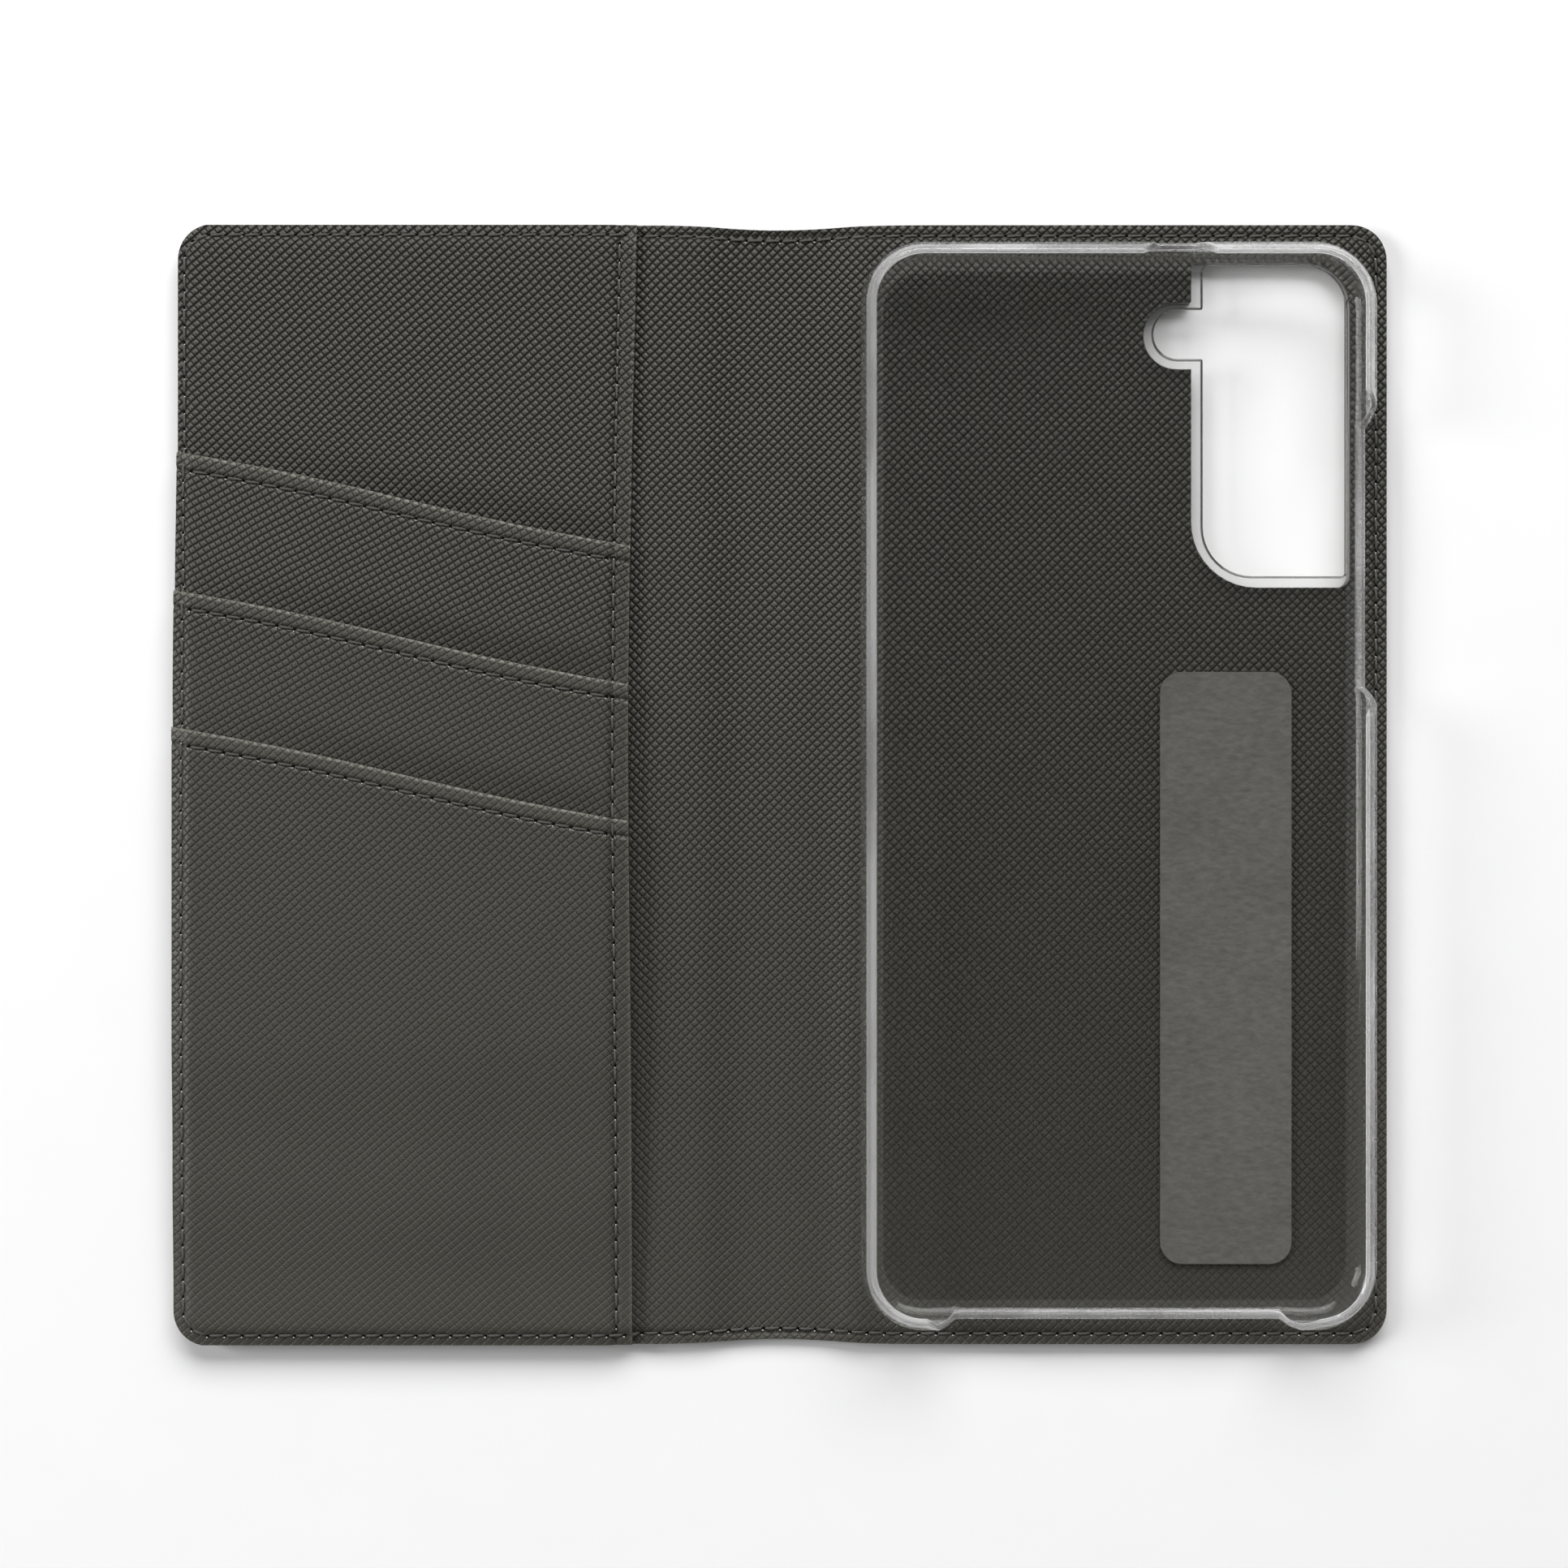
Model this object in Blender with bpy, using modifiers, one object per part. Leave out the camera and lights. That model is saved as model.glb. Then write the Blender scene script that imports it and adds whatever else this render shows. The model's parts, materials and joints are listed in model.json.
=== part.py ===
"""A book-style phone wallet case, lying open and flat with its inside up.

The back cover carries a clear snap-in shell for the phone. A soft spine joins it to the front
cover, which carries a cash pocket and three slanted card pockets. Metres, +Z up, +X towards the
back cover, +Y towards the phone's top. The origin is under the middle of the open case.
"""

import math

import bmesh
import bpy
from mathutils import Matrix, Vector

# The open case, flat.
CASE_WIDTH = 0.1852
CASE_LENGTH = 0.1706
COVER_CORNER_R = 0.0056
MEMBER_GAP = 0.0003

# Sheets, each with its thickness. They are stacked with MEMBER_GAP between them.
LEATHER_T = 0.0007
BOARD_T = 0.0009
LINING_T = 0.0006
POCKET_T = 0.0006
PAD_T = 0.0004

# The spine is soft. It folds at a crease on either side, a right angle each way. The sheets
# stop short of a crease's axis by more than their height from it, so no fold makes them meet.
CREASE_X = 0.009535
CREASE_Z = 0.00085
CREASE_BACK = 0.0009
THREAD_BACK = 0.0011
LEAF_LINING_X = 0.01205
BOARD_X = 0.01245
BOARD_MARGIN = 0.0028
PANEL_INSET = 0.0002

# Pockets on the front cover. A hem falls from its outer end to the spine side.
POCKET_RIGHT_X = -0.0229
HEM_LEFT_X = -0.0916
HEM_FALL = 0.0143
HEM_OUTER_Y = {"top": 0.0505, "middle": 0.0294, "bottom": 0.0086}
POCKET_FOOT_Y = {"top": -0.042, "middle": -0.064}

# The clear shell: its outer faces, its walls and the gaps in them.
SHELL_X = (0.0120, 0.0896)
SHELL_Y = (-0.0820, 0.0816)
SHELL_CORNER_R = 0.0095
SHELL_FOOT_R = 0.0036
SHELL_WALL = 0.0010
SHELL_HEIGHT = 0.0096
SHELL_SHOULDER_UP = 0.0057
LIP_STEPS = ((0.0023, 0.0007), (0.0016, 0.0010))
GAP_SILL_UP = 0.0018
PORT_GAP_X = (0.0242, 0.0780)
BUTTON_GAP_Y = (0.0125, 0.0565)
MIC_GAP_X = (0.0556, 0.0638)
MIC_SILL_UP = 0.0052
GAP_REACH = 0.0050

# Camera window: its sides, then its corner radii from lower left, anticlockwise.
LEATHER_WINDOW = ((0.0627, 0.0870), (0.0301, 0.0799), (0.0100, 0.0020, 0.0070, 0.0010))
LEATHER_NOTCH = ((0.0554, 0.0660), (0.06345, 0.07375), (0.00514, 0.0, 0.0, 0.00514))
SHELL_WINDOW = ((0.0642, 0.0858), (0.0317, 0.0790), (0.0075, 0.0005, 0.0060, 0.0010))
SHELL_NOTCH = ((0.0567, 0.0660), (0.06475, 0.07225), (0.00374, 0.0, 0.0, 0.00374))

# The pad that bonds the shell to the lining.
PAD_X = (0.0579, 0.0779)
PAD_Y = (-0.0731, 0.0172)
PAD_CORNER_R = 0.0033

# Sewing.
THREAD_R = 0.0002
EDGE_SEAM_IN = 0.0017
HEM_SEAM_DOWN = 0.0026
SIDE_SEAM_IN = 0.0024
SEAM_CLEARANCE = 0.0013
RAMP = 0.0010

ARC_SEGMENTS = 8
FOOT_SEGMENTS = 4

# Heights that follow from the stack.
HALF_WIDTH = CASE_WIDTH / 2
HALF_LENGTH = CASE_LENGTH / 2
BOARD_Z = LEATHER_T + MEMBER_GAP
LINING_Z = BOARD_Z + BOARD_T + MEMBER_GAP
LINING_TOP = LINING_Z + LINING_T
PAD_Z = LINING_TOP + MEMBER_GAP
SHELL_Z = PAD_Z + PAD_T + MEMBER_GAP
SPINE_LINING_Z = LEATHER_T + MEMBER_GAP
POCKET_LEVELS = ("cash", "top", "middle", "bottom")
POCKET_Z = {
    level: LINING_TOP + MEMBER_GAP + order * (POCKET_T + MEMBER_GAP)
    for order, level in enumerate(POCKET_LEVELS)
}


def clear_scene():
    """Removes whatever the scene holds."""
    for obj in list(bpy.data.objects):
        bpy.data.objects.remove(obj, do_unlink=True)


def new_collection(name):
    """A collection linked to the scene."""
    collection = bpy.data.collections.new(name)
    bpy.context.scene.collection.children.link(collection)
    return collection


def finish(name, colour, roughness, alpha=1.0):
    """A Principled material of one colour."""
    material = bpy.data.materials.new(name)
    material.use_nodes = True
    shader = material.node_tree.nodes["Principled BSDF"]
    shader.inputs["Base Color"].default_value = (*colour, 1.0)
    shader.inputs["Roughness"].default_value = roughness
    shader.inputs["Metallic"].default_value = 0.0
    shader.inputs["Alpha"].default_value = alpha
    return material


class Build:
    """Puts each piece in its collection, on its pivot and in its own finish."""

    def __init__(self):
        self.parts = new_collection("phone_wallet_case")
        self.cutters = new_collection("cutters")

    def pivot(self, name, x, z, parent=None):
        """An empty on a crease's axis, which the pieces beyond the crease turn about."""
        empty = bpy.data.objects.new(name, None)
        empty.empty_display_size = 0.01
        self.parts.objects.link(empty)
        empty.location = (x, 0.0, z)
        if parent:
            empty.location -= parent.matrix_world.translation
            empty.parent = parent
        bpy.context.view_layer.update()
        return empty

    def part(self, obj, pivot, colour, roughness, alpha=1.0):
        """Links a finished piece under its pivot, keeping its place."""
        self.parts.objects.link(obj)
        obj.data.materials.append(finish(obj.name, colour, roughness, alpha))
        obj.parent = pivot
        obj.matrix_parent_inverse = pivot.matrix_world.inverted()
        return obj

    def cut(self, obj, cutter):
        """Cuts obj with a helper that never shows."""
        if cutter.name not in self.cutters.objects:
            self.cutters.objects.link(cutter)
            cutter.hide_render = True
            cutter.display_type = "WIRE"
        boolean = obj.modifiers.new(cutter.name, "BOOLEAN")
        boolean.operation = "DIFFERENCE"
        boolean.solver = "EXACT"
        boolean.object = cutter


def box_mesh(x, y, z):
    """A bmesh box between its sides, given as (low, high) pairs."""
    bm = bmesh.new()
    size = (x[1] - x[0], y[1] - y[0], z[1] - z[0])
    centre = Vector((x[0] + x[1], y[0] + y[1], z[0] + z[1])) / 2
    matrix = Matrix.Translation(centre) @ Matrix.Diagonal((*size, 1.0))
    bmesh.ops.create_cube(bm, size=1.0, matrix=matrix)
    return bm


def upright_edges(bm, x, y):
    """The upright edges at the corner nearest to (x, y)."""
    return [
        edge
        for edge in bm.edges
        if all(math.hypot(v.co.x - x, v.co.y - y) < 1e-6 for v in edge.verts)
    ]


def round_corners(bm, x, y, radii):
    """Rounds the four upright edges, from lower left and anticlockwise."""
    corners = ((x[0], y[0]), (x[1], y[0]), (x[1], y[1]), (x[0], y[1]))
    for corner, radius in zip(corners, radii):
        if radius:
            edges = upright_edges(bm, *corner)
            bmesh.ops.bevel(bm, geom=edges, offset=radius, segments=ARC_SEGMENTS, profile=0.5, affect="EDGES")


def object_from(bm, name, smooth=False):
    """An object that takes the bmesh as its mesh."""
    bmesh.ops.recalc_face_normals(bm, faces=bm.faces)
    mesh = bpy.data.meshes.new(name)
    bm.to_mesh(mesh)
    bm.free()
    if smooth:
        mesh.shade_smooth()
        mesh.set_sharp_from_angle(angle=math.radians(35))
    return bpy.data.objects.new(name, mesh)


def plate(name, x, y, z, radii=(0.0, 0.0, 0.0, 0.0), top_line=None):
    """A flat sheet with rounded corners. top_line cuts off what lies above a slanted line."""
    bm = box_mesh(x, y, z)
    round_corners(bm, x, y, radii)
    if top_line:
        start, end = (Vector((*point, 0.0)) for point in top_line)
        along = (end - start).normalized()
        cut = bmesh.ops.bisect_plane(
            bm,
            geom=bm.verts[:] + bm.edges[:] + bm.faces[:],
            plane_co=start,
            plane_no=Vector((-along.y, along.x, 0.0)),
            clear_outer=True,
        )
        edges = [item for item in cut["geom_cut"] if isinstance(item, bmesh.types.BMEdge)]
        bmesh.ops.edgeloop_fill(bm, edges=edges)
    return object_from(bm, name)


def thread(name, route):
    """A sewn thread, drawn as one continuous tube along its route."""
    curve = bpy.data.curves.new(name, "CURVE")
    curve.dimensions = "3D"
    curve.bevel_depth = THREAD_R
    curve.bevel_resolution = 1
    curve.use_fill_caps = True
    spline = curve.splines.new("POLY")
    spline.points.add(len(route) - 1)
    for point, place in zip(spline.points, route):
        point.co = (*place, 1.0)
    return bpy.data.objects.new(name, curve)


def outward(place, x, y, radius):
    """The outward direction, in plan, of a rounded rectangle's wall at a point on it."""
    core_x = min(max(place.x, x[0] + radius), x[1] - radius)
    core_y = min(max(place.y, y[0] + radius), y[1] - radius)
    return Vector((place.x - core_x, place.y - core_y, 0.0)).normalized()


def shell_body():
    """The shell's outer surface, open on top: rounded foot, upright wall, then the lip leaning in."""
    bm = box_mesh(SHELL_X, SHELL_Y, (SHELL_Z, SHELL_Z + SHELL_SHOULDER_UP))
    round_corners(bm, SHELL_X, SHELL_Y, (SHELL_CORNER_R,) * 4)
    lid = [face for face in bm.faces if face.normal.z > 0.9]
    bmesh.ops.delete(bm, geom=lid, context="FACES_ONLY")
    foot = [edge for edge in bm.edges if all(v.co.z < SHELL_Z + 1e-6 for v in edge.verts)]
    bmesh.ops.bevel(bm, geom=foot, offset=SHELL_FOOT_R, segments=FOOT_SEGMENTS, profile=0.5, affect="EDGES")
    for rise, lean in LIP_STEPS:
        rim = [edge for edge in bm.edges if edge.is_boundary]
        grown = bmesh.ops.extrude_edge_only(bm, edges=rim)["geom"]
        for vert in (item for item in grown if isinstance(item, bmesh.types.BMVert)):
            lean_in = outward(vert.co, SHELL_X, SHELL_Y, SHELL_CORNER_R) * lean
            vert.co += Vector((0.0, 0.0, rise)) - lean_in
    return object_from(bm, "clear_shell", smooth=True)


def hem_y(level, x):
    """The height of a card pocket's hem at x."""
    share = (x - HEM_LEFT_X) / (POCKET_RIGHT_X - HEM_LEFT_X)
    return HEM_OUTER_Y[level] - HEM_FALL * share


def thread_z(top):
    """The middle of a thread that lies on a sheet's top face."""
    return top + MEMBER_GAP + THREAD_R


def corner_run(centre, radius, start_deg):
    """Points of a quarter turn in plan, anticlockwise from start_deg."""
    for step in range(ARC_SEGMENTS + 1):
        angle = math.radians(start_deg + 90.0 * step / ARC_SEGMENTS)
        yield centre[0] + radius * math.cos(angle), centre[1] + radius * math.sin(angle)


def step_up(y, z_low, z_high, x):
    """Two points where a seam that runs towards -Y climbs on to a sheet that starts at y."""
    lead = RAMP + MEMBER_GAP + THREAD_R
    return (x, y + lead, z_low), (x, y + lead - RAMP, z_high)


def pocket_thread_z(level):
    """The height of a thread on a pocket's face."""
    return thread_z(POCKET_Z[level] + POCKET_T)


def seam_down_pockets(x, y_start, y_end):
    """A seam that runs down the front cover at x and climbs on to each card pocket."""
    route = [(x, y_start, pocket_thread_z("cash"))]
    for below, level in zip(POCKET_LEVELS, POCKET_LEVELS[1:]):
        route += step_up(hem_y(level, x), pocket_thread_z(below), pocket_thread_z(level), x)
    return route + [(x, y_end, pocket_thread_z("bottom"))]


def leaf_stack(build, side, pivot, leather, board):
    """The sheets that both covers share: outer leather, board and lining."""
    sign = 1.0 if side == "back" else -1.0

    def span(inner, outer):
        return tuple(sorted((sign * inner, sign * outer)))

    def outer_corners(radius):
        return (0.0, radius, radius, 0.0) if sign > 0 else (radius, 0.0, 0.0, radius)

    length = (-HALF_LENGTH, HALF_LENGTH)
    board_length = (-HALF_LENGTH + BOARD_MARGIN, HALF_LENGTH - BOARD_MARGIN)
    sheets = (
        plate(f"{side}_outer_leather", span(CREASE_X + CREASE_BACK, HALF_WIDTH), length,
              (0.0, LEATHER_T), outer_corners(COVER_CORNER_R)),
        plate(f"{side}_board", span(BOARD_X, HALF_WIDTH - BOARD_MARGIN), board_length,
              (BOARD_Z, BOARD_Z + BOARD_T), outer_corners(COVER_CORNER_R - BOARD_MARGIN)),
        plate(f"{side}_lining", span(LEAF_LINING_X, HALF_WIDTH), length,
              (LINING_Z, LINING_TOP), outer_corners(COVER_CORNER_R)),
    )
    for sheet, colour in zip(sheets, (leather, board, leather)):
        build.part(sheet, pivot, colour, 0.55)
    return sheets


def window_cutters(name, window, notch, z):
    """The camera window and the half-round flash notch beside it, as two cutters."""
    return (
        plate(f"{name}_window", window[0], window[1], z, window[2]),
        plate(f"{name}_notch", notch[0], notch[1], z, notch[2]),
    )


def back_cover(build, pivot, leather, board, clear, grey):
    """The cover behind the phone, with the bonded shell."""
    sheets = leaf_stack(build, "back", pivot, leather, board)
    through = (-GAP_REACH, PAD_Z)
    for cutter in window_cutters("leather", LEATHER_WINDOW, LEATHER_NOTCH, through):
        for sheet in sheets:
            build.cut(sheet, cutter)

    pad = plate("bond_pad", PAD_X, PAD_Y, (PAD_Z, PAD_Z + PAD_T), (PAD_CORNER_R,) * 4)
    build.part(pad, pivot, grey, 0.9)

    shell = shell_body()
    wall = shell.modifiers.new("wall", "SOLIDIFY")
    wall.thickness = SHELL_WALL
    wall.offset = -1.0
    build.part(shell, pivot, clear, 0.1, alpha=0.3)
    above = SHELL_Z + SHELL_HEIGHT + GAP_REACH
    sill = SHELL_Z + GAP_SILL_UP
    cutters = (
        *window_cutters("shell", SHELL_WINDOW, SHELL_NOTCH, (PAD_Z, SHELL_Z + GAP_SILL_UP)),
        plate("port_gap", PORT_GAP_X, (SHELL_Y[0] - GAP_REACH, SHELL_Y[0] + GAP_REACH), (sill, above)),
        plate("button_gap", (SHELL_X[1] - GAP_REACH, SHELL_X[1] + GAP_REACH), BUTTON_GAP_Y, (sill, above)),
        plate("mic_gap", MIC_GAP_X, (SHELL_Y[1] - GAP_REACH, SHELL_Y[1] + GAP_REACH),
              (SHELL_Z + MIC_SILL_UP, above)),
    )
    for cutter in cutters:
        build.cut(shell, cutter)

    seam_x = HALF_WIDTH - EDGE_SEAM_IN
    seam_y = HALF_LENGTH - EDGE_SEAM_IN
    radius = COVER_CORNER_R - EDGE_SEAM_IN
    start_x = LEAF_LINING_X + MEMBER_GAP
    z = thread_z(LINING_TOP)
    route = [(start_x, -seam_y, z)]
    for centre_y, start_deg in ((-seam_y + radius, -90.0), (seam_y - radius, 0.0)):
        route += [(x, y, z) for x, y in corner_run((seam_x - radius, centre_y), radius, start_deg)]
    route += [(start_x, seam_y, z)]
    build.part(thread("back_edge_stitching", route), pivot, leather, 0.6)


def spine(build, pivot, leather):
    """The soft spine between the creases: its leather, its lining and the seam at either end."""
    inside = (-CREASE_X + CREASE_BACK, CREASE_X - CREASE_BACK)
    length = (-HALF_LENGTH, HALF_LENGTH)
    pieces = [
        plate("spine_outer_leather", inside, length, (0.0, LEATHER_T)),
        plate("spine_lining", inside, length, (SPINE_LINING_Z, SPINE_LINING_Z + LINING_T)),
    ]
    seam_end = CREASE_X - THREAD_BACK
    z = thread_z(SPINE_LINING_Z + LINING_T)
    for end, sign in (("upper", 1.0), ("lower", -1.0)):
        y = sign * (HALF_LENGTH - EDGE_SEAM_IN)
        pieces.append(thread(f"spine_stitching_{end}", [(x, y, z) for x in (-seam_end, seam_end)]))
    for piece in pieces:
        build.part(piece, pivot, leather, 0.55)


def card_pocket(build, level, pivot, leather):
    """A card pocket's panel, cut along its slanted hem, and the seam along the hem."""
    left = -HALF_WIDTH + PANEL_INSET
    foot = POCKET_FOOT_Y.get(level, -HALF_LENGTH + PANEL_INSET)
    corner = 0.0 if level in POCKET_FOOT_Y else COVER_CORNER_R
    z = POCKET_Z[level]
    hem = [(x, hem_y(level, x)) for x in (left - GAP_REACH, POCKET_RIGHT_X + GAP_REACH)]
    panel = plate(f"card_pocket_{level}", (left, POCKET_RIGHT_X), (foot, HEM_OUTER_Y[level] + GAP_REACH),
                  (z, z + POCKET_T), (corner, 0.0, 0.0, 0.0), top_line=hem)
    build.part(panel, pivot, leather, 0.55)

    seam_drop = HEM_SEAM_DOWN / math.cos(math.atan2(HEM_FALL, POCKET_RIGHT_X - HEM_LEFT_X))
    ends = (
        -HALF_WIDTH + EDGE_SEAM_IN + SEAM_CLEARANCE,
        POCKET_RIGHT_X - SIDE_SEAM_IN - SEAM_CLEARANCE,
    )
    route = [(x, hem_y(level, x) - seam_drop, pocket_thread_z(level)) for x in ends]
    build.part(thread(f"hem_stitching_{level}", route), pivot, leather, 0.6)


def front_edge_route():
    """The seam round the front cover, from the spine's upper end to its lower end."""
    seam_x = -HALF_WIDTH + EDGE_SEAM_IN
    seam_y = HALF_LENGTH - EDGE_SEAM_IN
    radius = COVER_CORNER_R - EDGE_SEAM_IN
    start_x = -LEAF_LINING_X - MEMBER_GAP
    lead = RAMP + MEMBER_GAP + THREAD_R
    low = thread_z(LINING_TOP)
    upper, lower = pocket_thread_z("cash"), pocket_thread_z("bottom")
    ramp_x = POCKET_RIGHT_X + lead
    far_ramp_x = ramp_x + lower - upper
    route = [(start_x, seam_y, low), (ramp_x, seam_y, low), (ramp_x - RAMP, seam_y, upper)]
    route += [(x, y, upper) for x, y in corner_run((seam_x + radius, seam_y - radius), radius, 90.0)]
    route += seam_down_pockets(seam_x, seam_y - 2 * radius, -seam_y + 2 * radius)
    route += [(x, y, lower) for x, y in corner_run((seam_x + radius, -seam_y + radius), radius, 180.0)]
    route += [(ramp_x - RAMP, -seam_y, lower), (far_ramp_x, -seam_y, low), (start_x, -seam_y, low)]
    return route


def front_cover(build, pivot, leather, board):
    """The cover over the phone's screen, with the cash pocket and the card pockets."""
    leaf_stack(build, "front", pivot, leather, board)
    length = (-HALF_LENGTH + PANEL_INSET, HALF_LENGTH - PANEL_INSET)
    z = POCKET_Z["cash"]
    panel = plate("cash_pocket_panel", (-HALF_WIDTH + PANEL_INSET, POCKET_RIGHT_X), length,
                  (z, z + POCKET_T), (COVER_CORNER_R, 0.0, 0.0, COVER_CORNER_R))
    build.part(panel, pivot, leather, 0.55)
    for level in POCKET_LEVELS[1:]:
        card_pocket(build, level, pivot, leather)

    side_x = POCKET_RIGHT_X - SIDE_SEAM_IN
    end_y = HALF_LENGTH - EDGE_SEAM_IN - SEAM_CLEARANCE
    side_seam = thread("pocket_side_stitching", seam_down_pockets(side_x, end_y, -end_y))
    build.part(side_seam, pivot, leather, 0.6)
    build.part(thread("front_edge_stitching", front_edge_route()), pivot, leather, 0.6)


def main():
    """Builds the case from the back cover, which stays put, to the front cover."""
    clear_scene()
    build = Build()
    leather = (0.060, 0.058, 0.051)
    board = (0.35, 0.33, 0.30)
    clear = (0.85, 0.87, 0.88)
    grey = (0.11, 0.108, 0.098)

    root = build.pivot("back_cover_frame", 0.0, 0.0)
    back_cover(build, root, leather, board, clear, grey)
    pivot = build.pivot("back_crease", CREASE_X, CREASE_Z, root)
    spine(build, pivot, leather)
    pivot = build.pivot("front_crease", -CREASE_X, CREASE_Z, pivot)
    front_cover(build, pivot, leather, board)


main()
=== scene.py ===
"""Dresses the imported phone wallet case: leather sheets, pockets, sewing and the clear shell.

The case lies open with its inside up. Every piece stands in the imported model's own frame, in
metres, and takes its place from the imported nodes' boxes.
"""

from __future__ import annotations

import json
import logging
import math
from contextlib import contextmanager
from dataclasses import dataclass, field
from enum import Enum
from typing import Callable, Iterator, Sequence

import bpy
import numpy as np
from mathutils import Euler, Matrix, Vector, noise


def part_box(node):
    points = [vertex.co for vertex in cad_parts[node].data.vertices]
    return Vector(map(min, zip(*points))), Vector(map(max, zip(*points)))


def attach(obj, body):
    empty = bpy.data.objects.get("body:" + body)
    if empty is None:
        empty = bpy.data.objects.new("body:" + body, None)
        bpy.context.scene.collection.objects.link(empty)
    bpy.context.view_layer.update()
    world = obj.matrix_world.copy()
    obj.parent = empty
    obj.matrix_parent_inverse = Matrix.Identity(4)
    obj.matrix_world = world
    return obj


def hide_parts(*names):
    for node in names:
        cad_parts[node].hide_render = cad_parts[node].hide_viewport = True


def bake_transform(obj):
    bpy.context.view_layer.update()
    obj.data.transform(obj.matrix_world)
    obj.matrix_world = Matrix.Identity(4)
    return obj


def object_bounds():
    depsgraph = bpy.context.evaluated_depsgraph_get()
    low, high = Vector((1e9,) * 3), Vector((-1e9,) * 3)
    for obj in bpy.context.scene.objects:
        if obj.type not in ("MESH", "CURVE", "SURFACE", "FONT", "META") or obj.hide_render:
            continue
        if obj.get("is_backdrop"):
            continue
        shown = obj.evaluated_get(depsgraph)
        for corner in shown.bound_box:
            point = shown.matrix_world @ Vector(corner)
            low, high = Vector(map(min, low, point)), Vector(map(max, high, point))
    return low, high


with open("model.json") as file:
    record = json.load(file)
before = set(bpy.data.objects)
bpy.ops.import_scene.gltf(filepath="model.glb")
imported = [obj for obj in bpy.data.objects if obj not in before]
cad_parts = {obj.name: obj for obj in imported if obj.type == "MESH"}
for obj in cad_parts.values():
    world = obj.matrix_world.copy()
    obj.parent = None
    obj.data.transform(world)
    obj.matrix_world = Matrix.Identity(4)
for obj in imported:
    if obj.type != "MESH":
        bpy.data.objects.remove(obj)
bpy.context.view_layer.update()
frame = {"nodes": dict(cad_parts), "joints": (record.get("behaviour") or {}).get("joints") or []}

LOG = logging.getLogger("wallet_case")
MM = 0.001
GRAIN_UV = "grain"
PRESS = "press"
# Lightens the leather's colour: real rubbing at the outer and free edges, and a painted highlight
# along the hem folds.
WEAR_AND_HIGHLIGHT = "wear_and_highlight"
DEPTH_AND_SHADE = "grain_depth_and_shade"
# Grain depth, and with it the painted groove shade, at these heights: it grows towards the upper end
# to stand in for light grazing the grain there.
GRAIN_STATIONS = (-75.0, -20.0, 30.0, 80.0)
GRAIN_DEPTHS_AND_SHADE = (0.40, 0.90, 1.45, 1.90)
SHEET_STEP = 1.6 * MM
LEAST_GAP = 0.02 * MM
EDGE_GAPS = tuple(gap * MM for gap in (
    0.06, 0.18, 0.36, 0.6, 0.9, 1.15, 1.35, 1.52, 1.7, 1.88, 2.05, 2.3, 2.7, 3.2, 3.9, 4.7, 5.6, 6.8))
HEM_GAPS = tuple(gap * MM for gap in (
    0.08, 0.2, 0.36, 0.56, 0.85, 1.2, 1.55, 1.85, 2.05, 2.22, 2.38, 2.52, 2.68, 2.85, 3.05, 3.4, 4.0,
    4.8, 6.0))
SPINE_PLACES = tuple(place * MM for place in (
    -13.2, -12.6, -12, -11.4, -10.8, -10.2, -9.5, -2.3, -1.9, -1.6, -1.3, -0.9, 9.5, 10.2, 10.8, 11.4,
    12, 12.6, 13.2))
Field = Callable[[np.ndarray, np.ndarray], np.ndarray]


class Body(Enum):
    """The bodies that the creases join."""

    BACK = "back_cover"
    SPINE = "spine"
    FRONT = "front_cover"


def ease(t: np.ndarray | float) -> np.ndarray:
    """A smooth rise from 0 to 1 while t goes from 0 to 1."""
    t = np.clip(t, 0.0, 1.0)
    return t * t * (3.0 - 2.0 * t)


def hollow(distance: np.ndarray, width: float) -> np.ndarray:
    """A rounded groove's depth share at a distance from its middle."""
    return np.exp(-((distance / width) ** 2))


def undulation(x: np.ndarray, y: np.ndarray, cell: float, seed: float) -> np.ndarray:
    """Slow, gentle waves of soft leather, from -1 to 1.

    Args:
        x: Points' x, in metres.
        y: Points' y, in metres.
        cell: The waves' size, in metres.
        seed: Which waves.

    Returns:
        One height share for each point.
    """
    return np.array([noise.noise(Vector((px / cell, py / cell, seed))) for px, py in zip(x, y)])


# ---------------------------------------------------------------------------------------------
# Modelling by hand
# ---------------------------------------------------------------------------------------------


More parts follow.
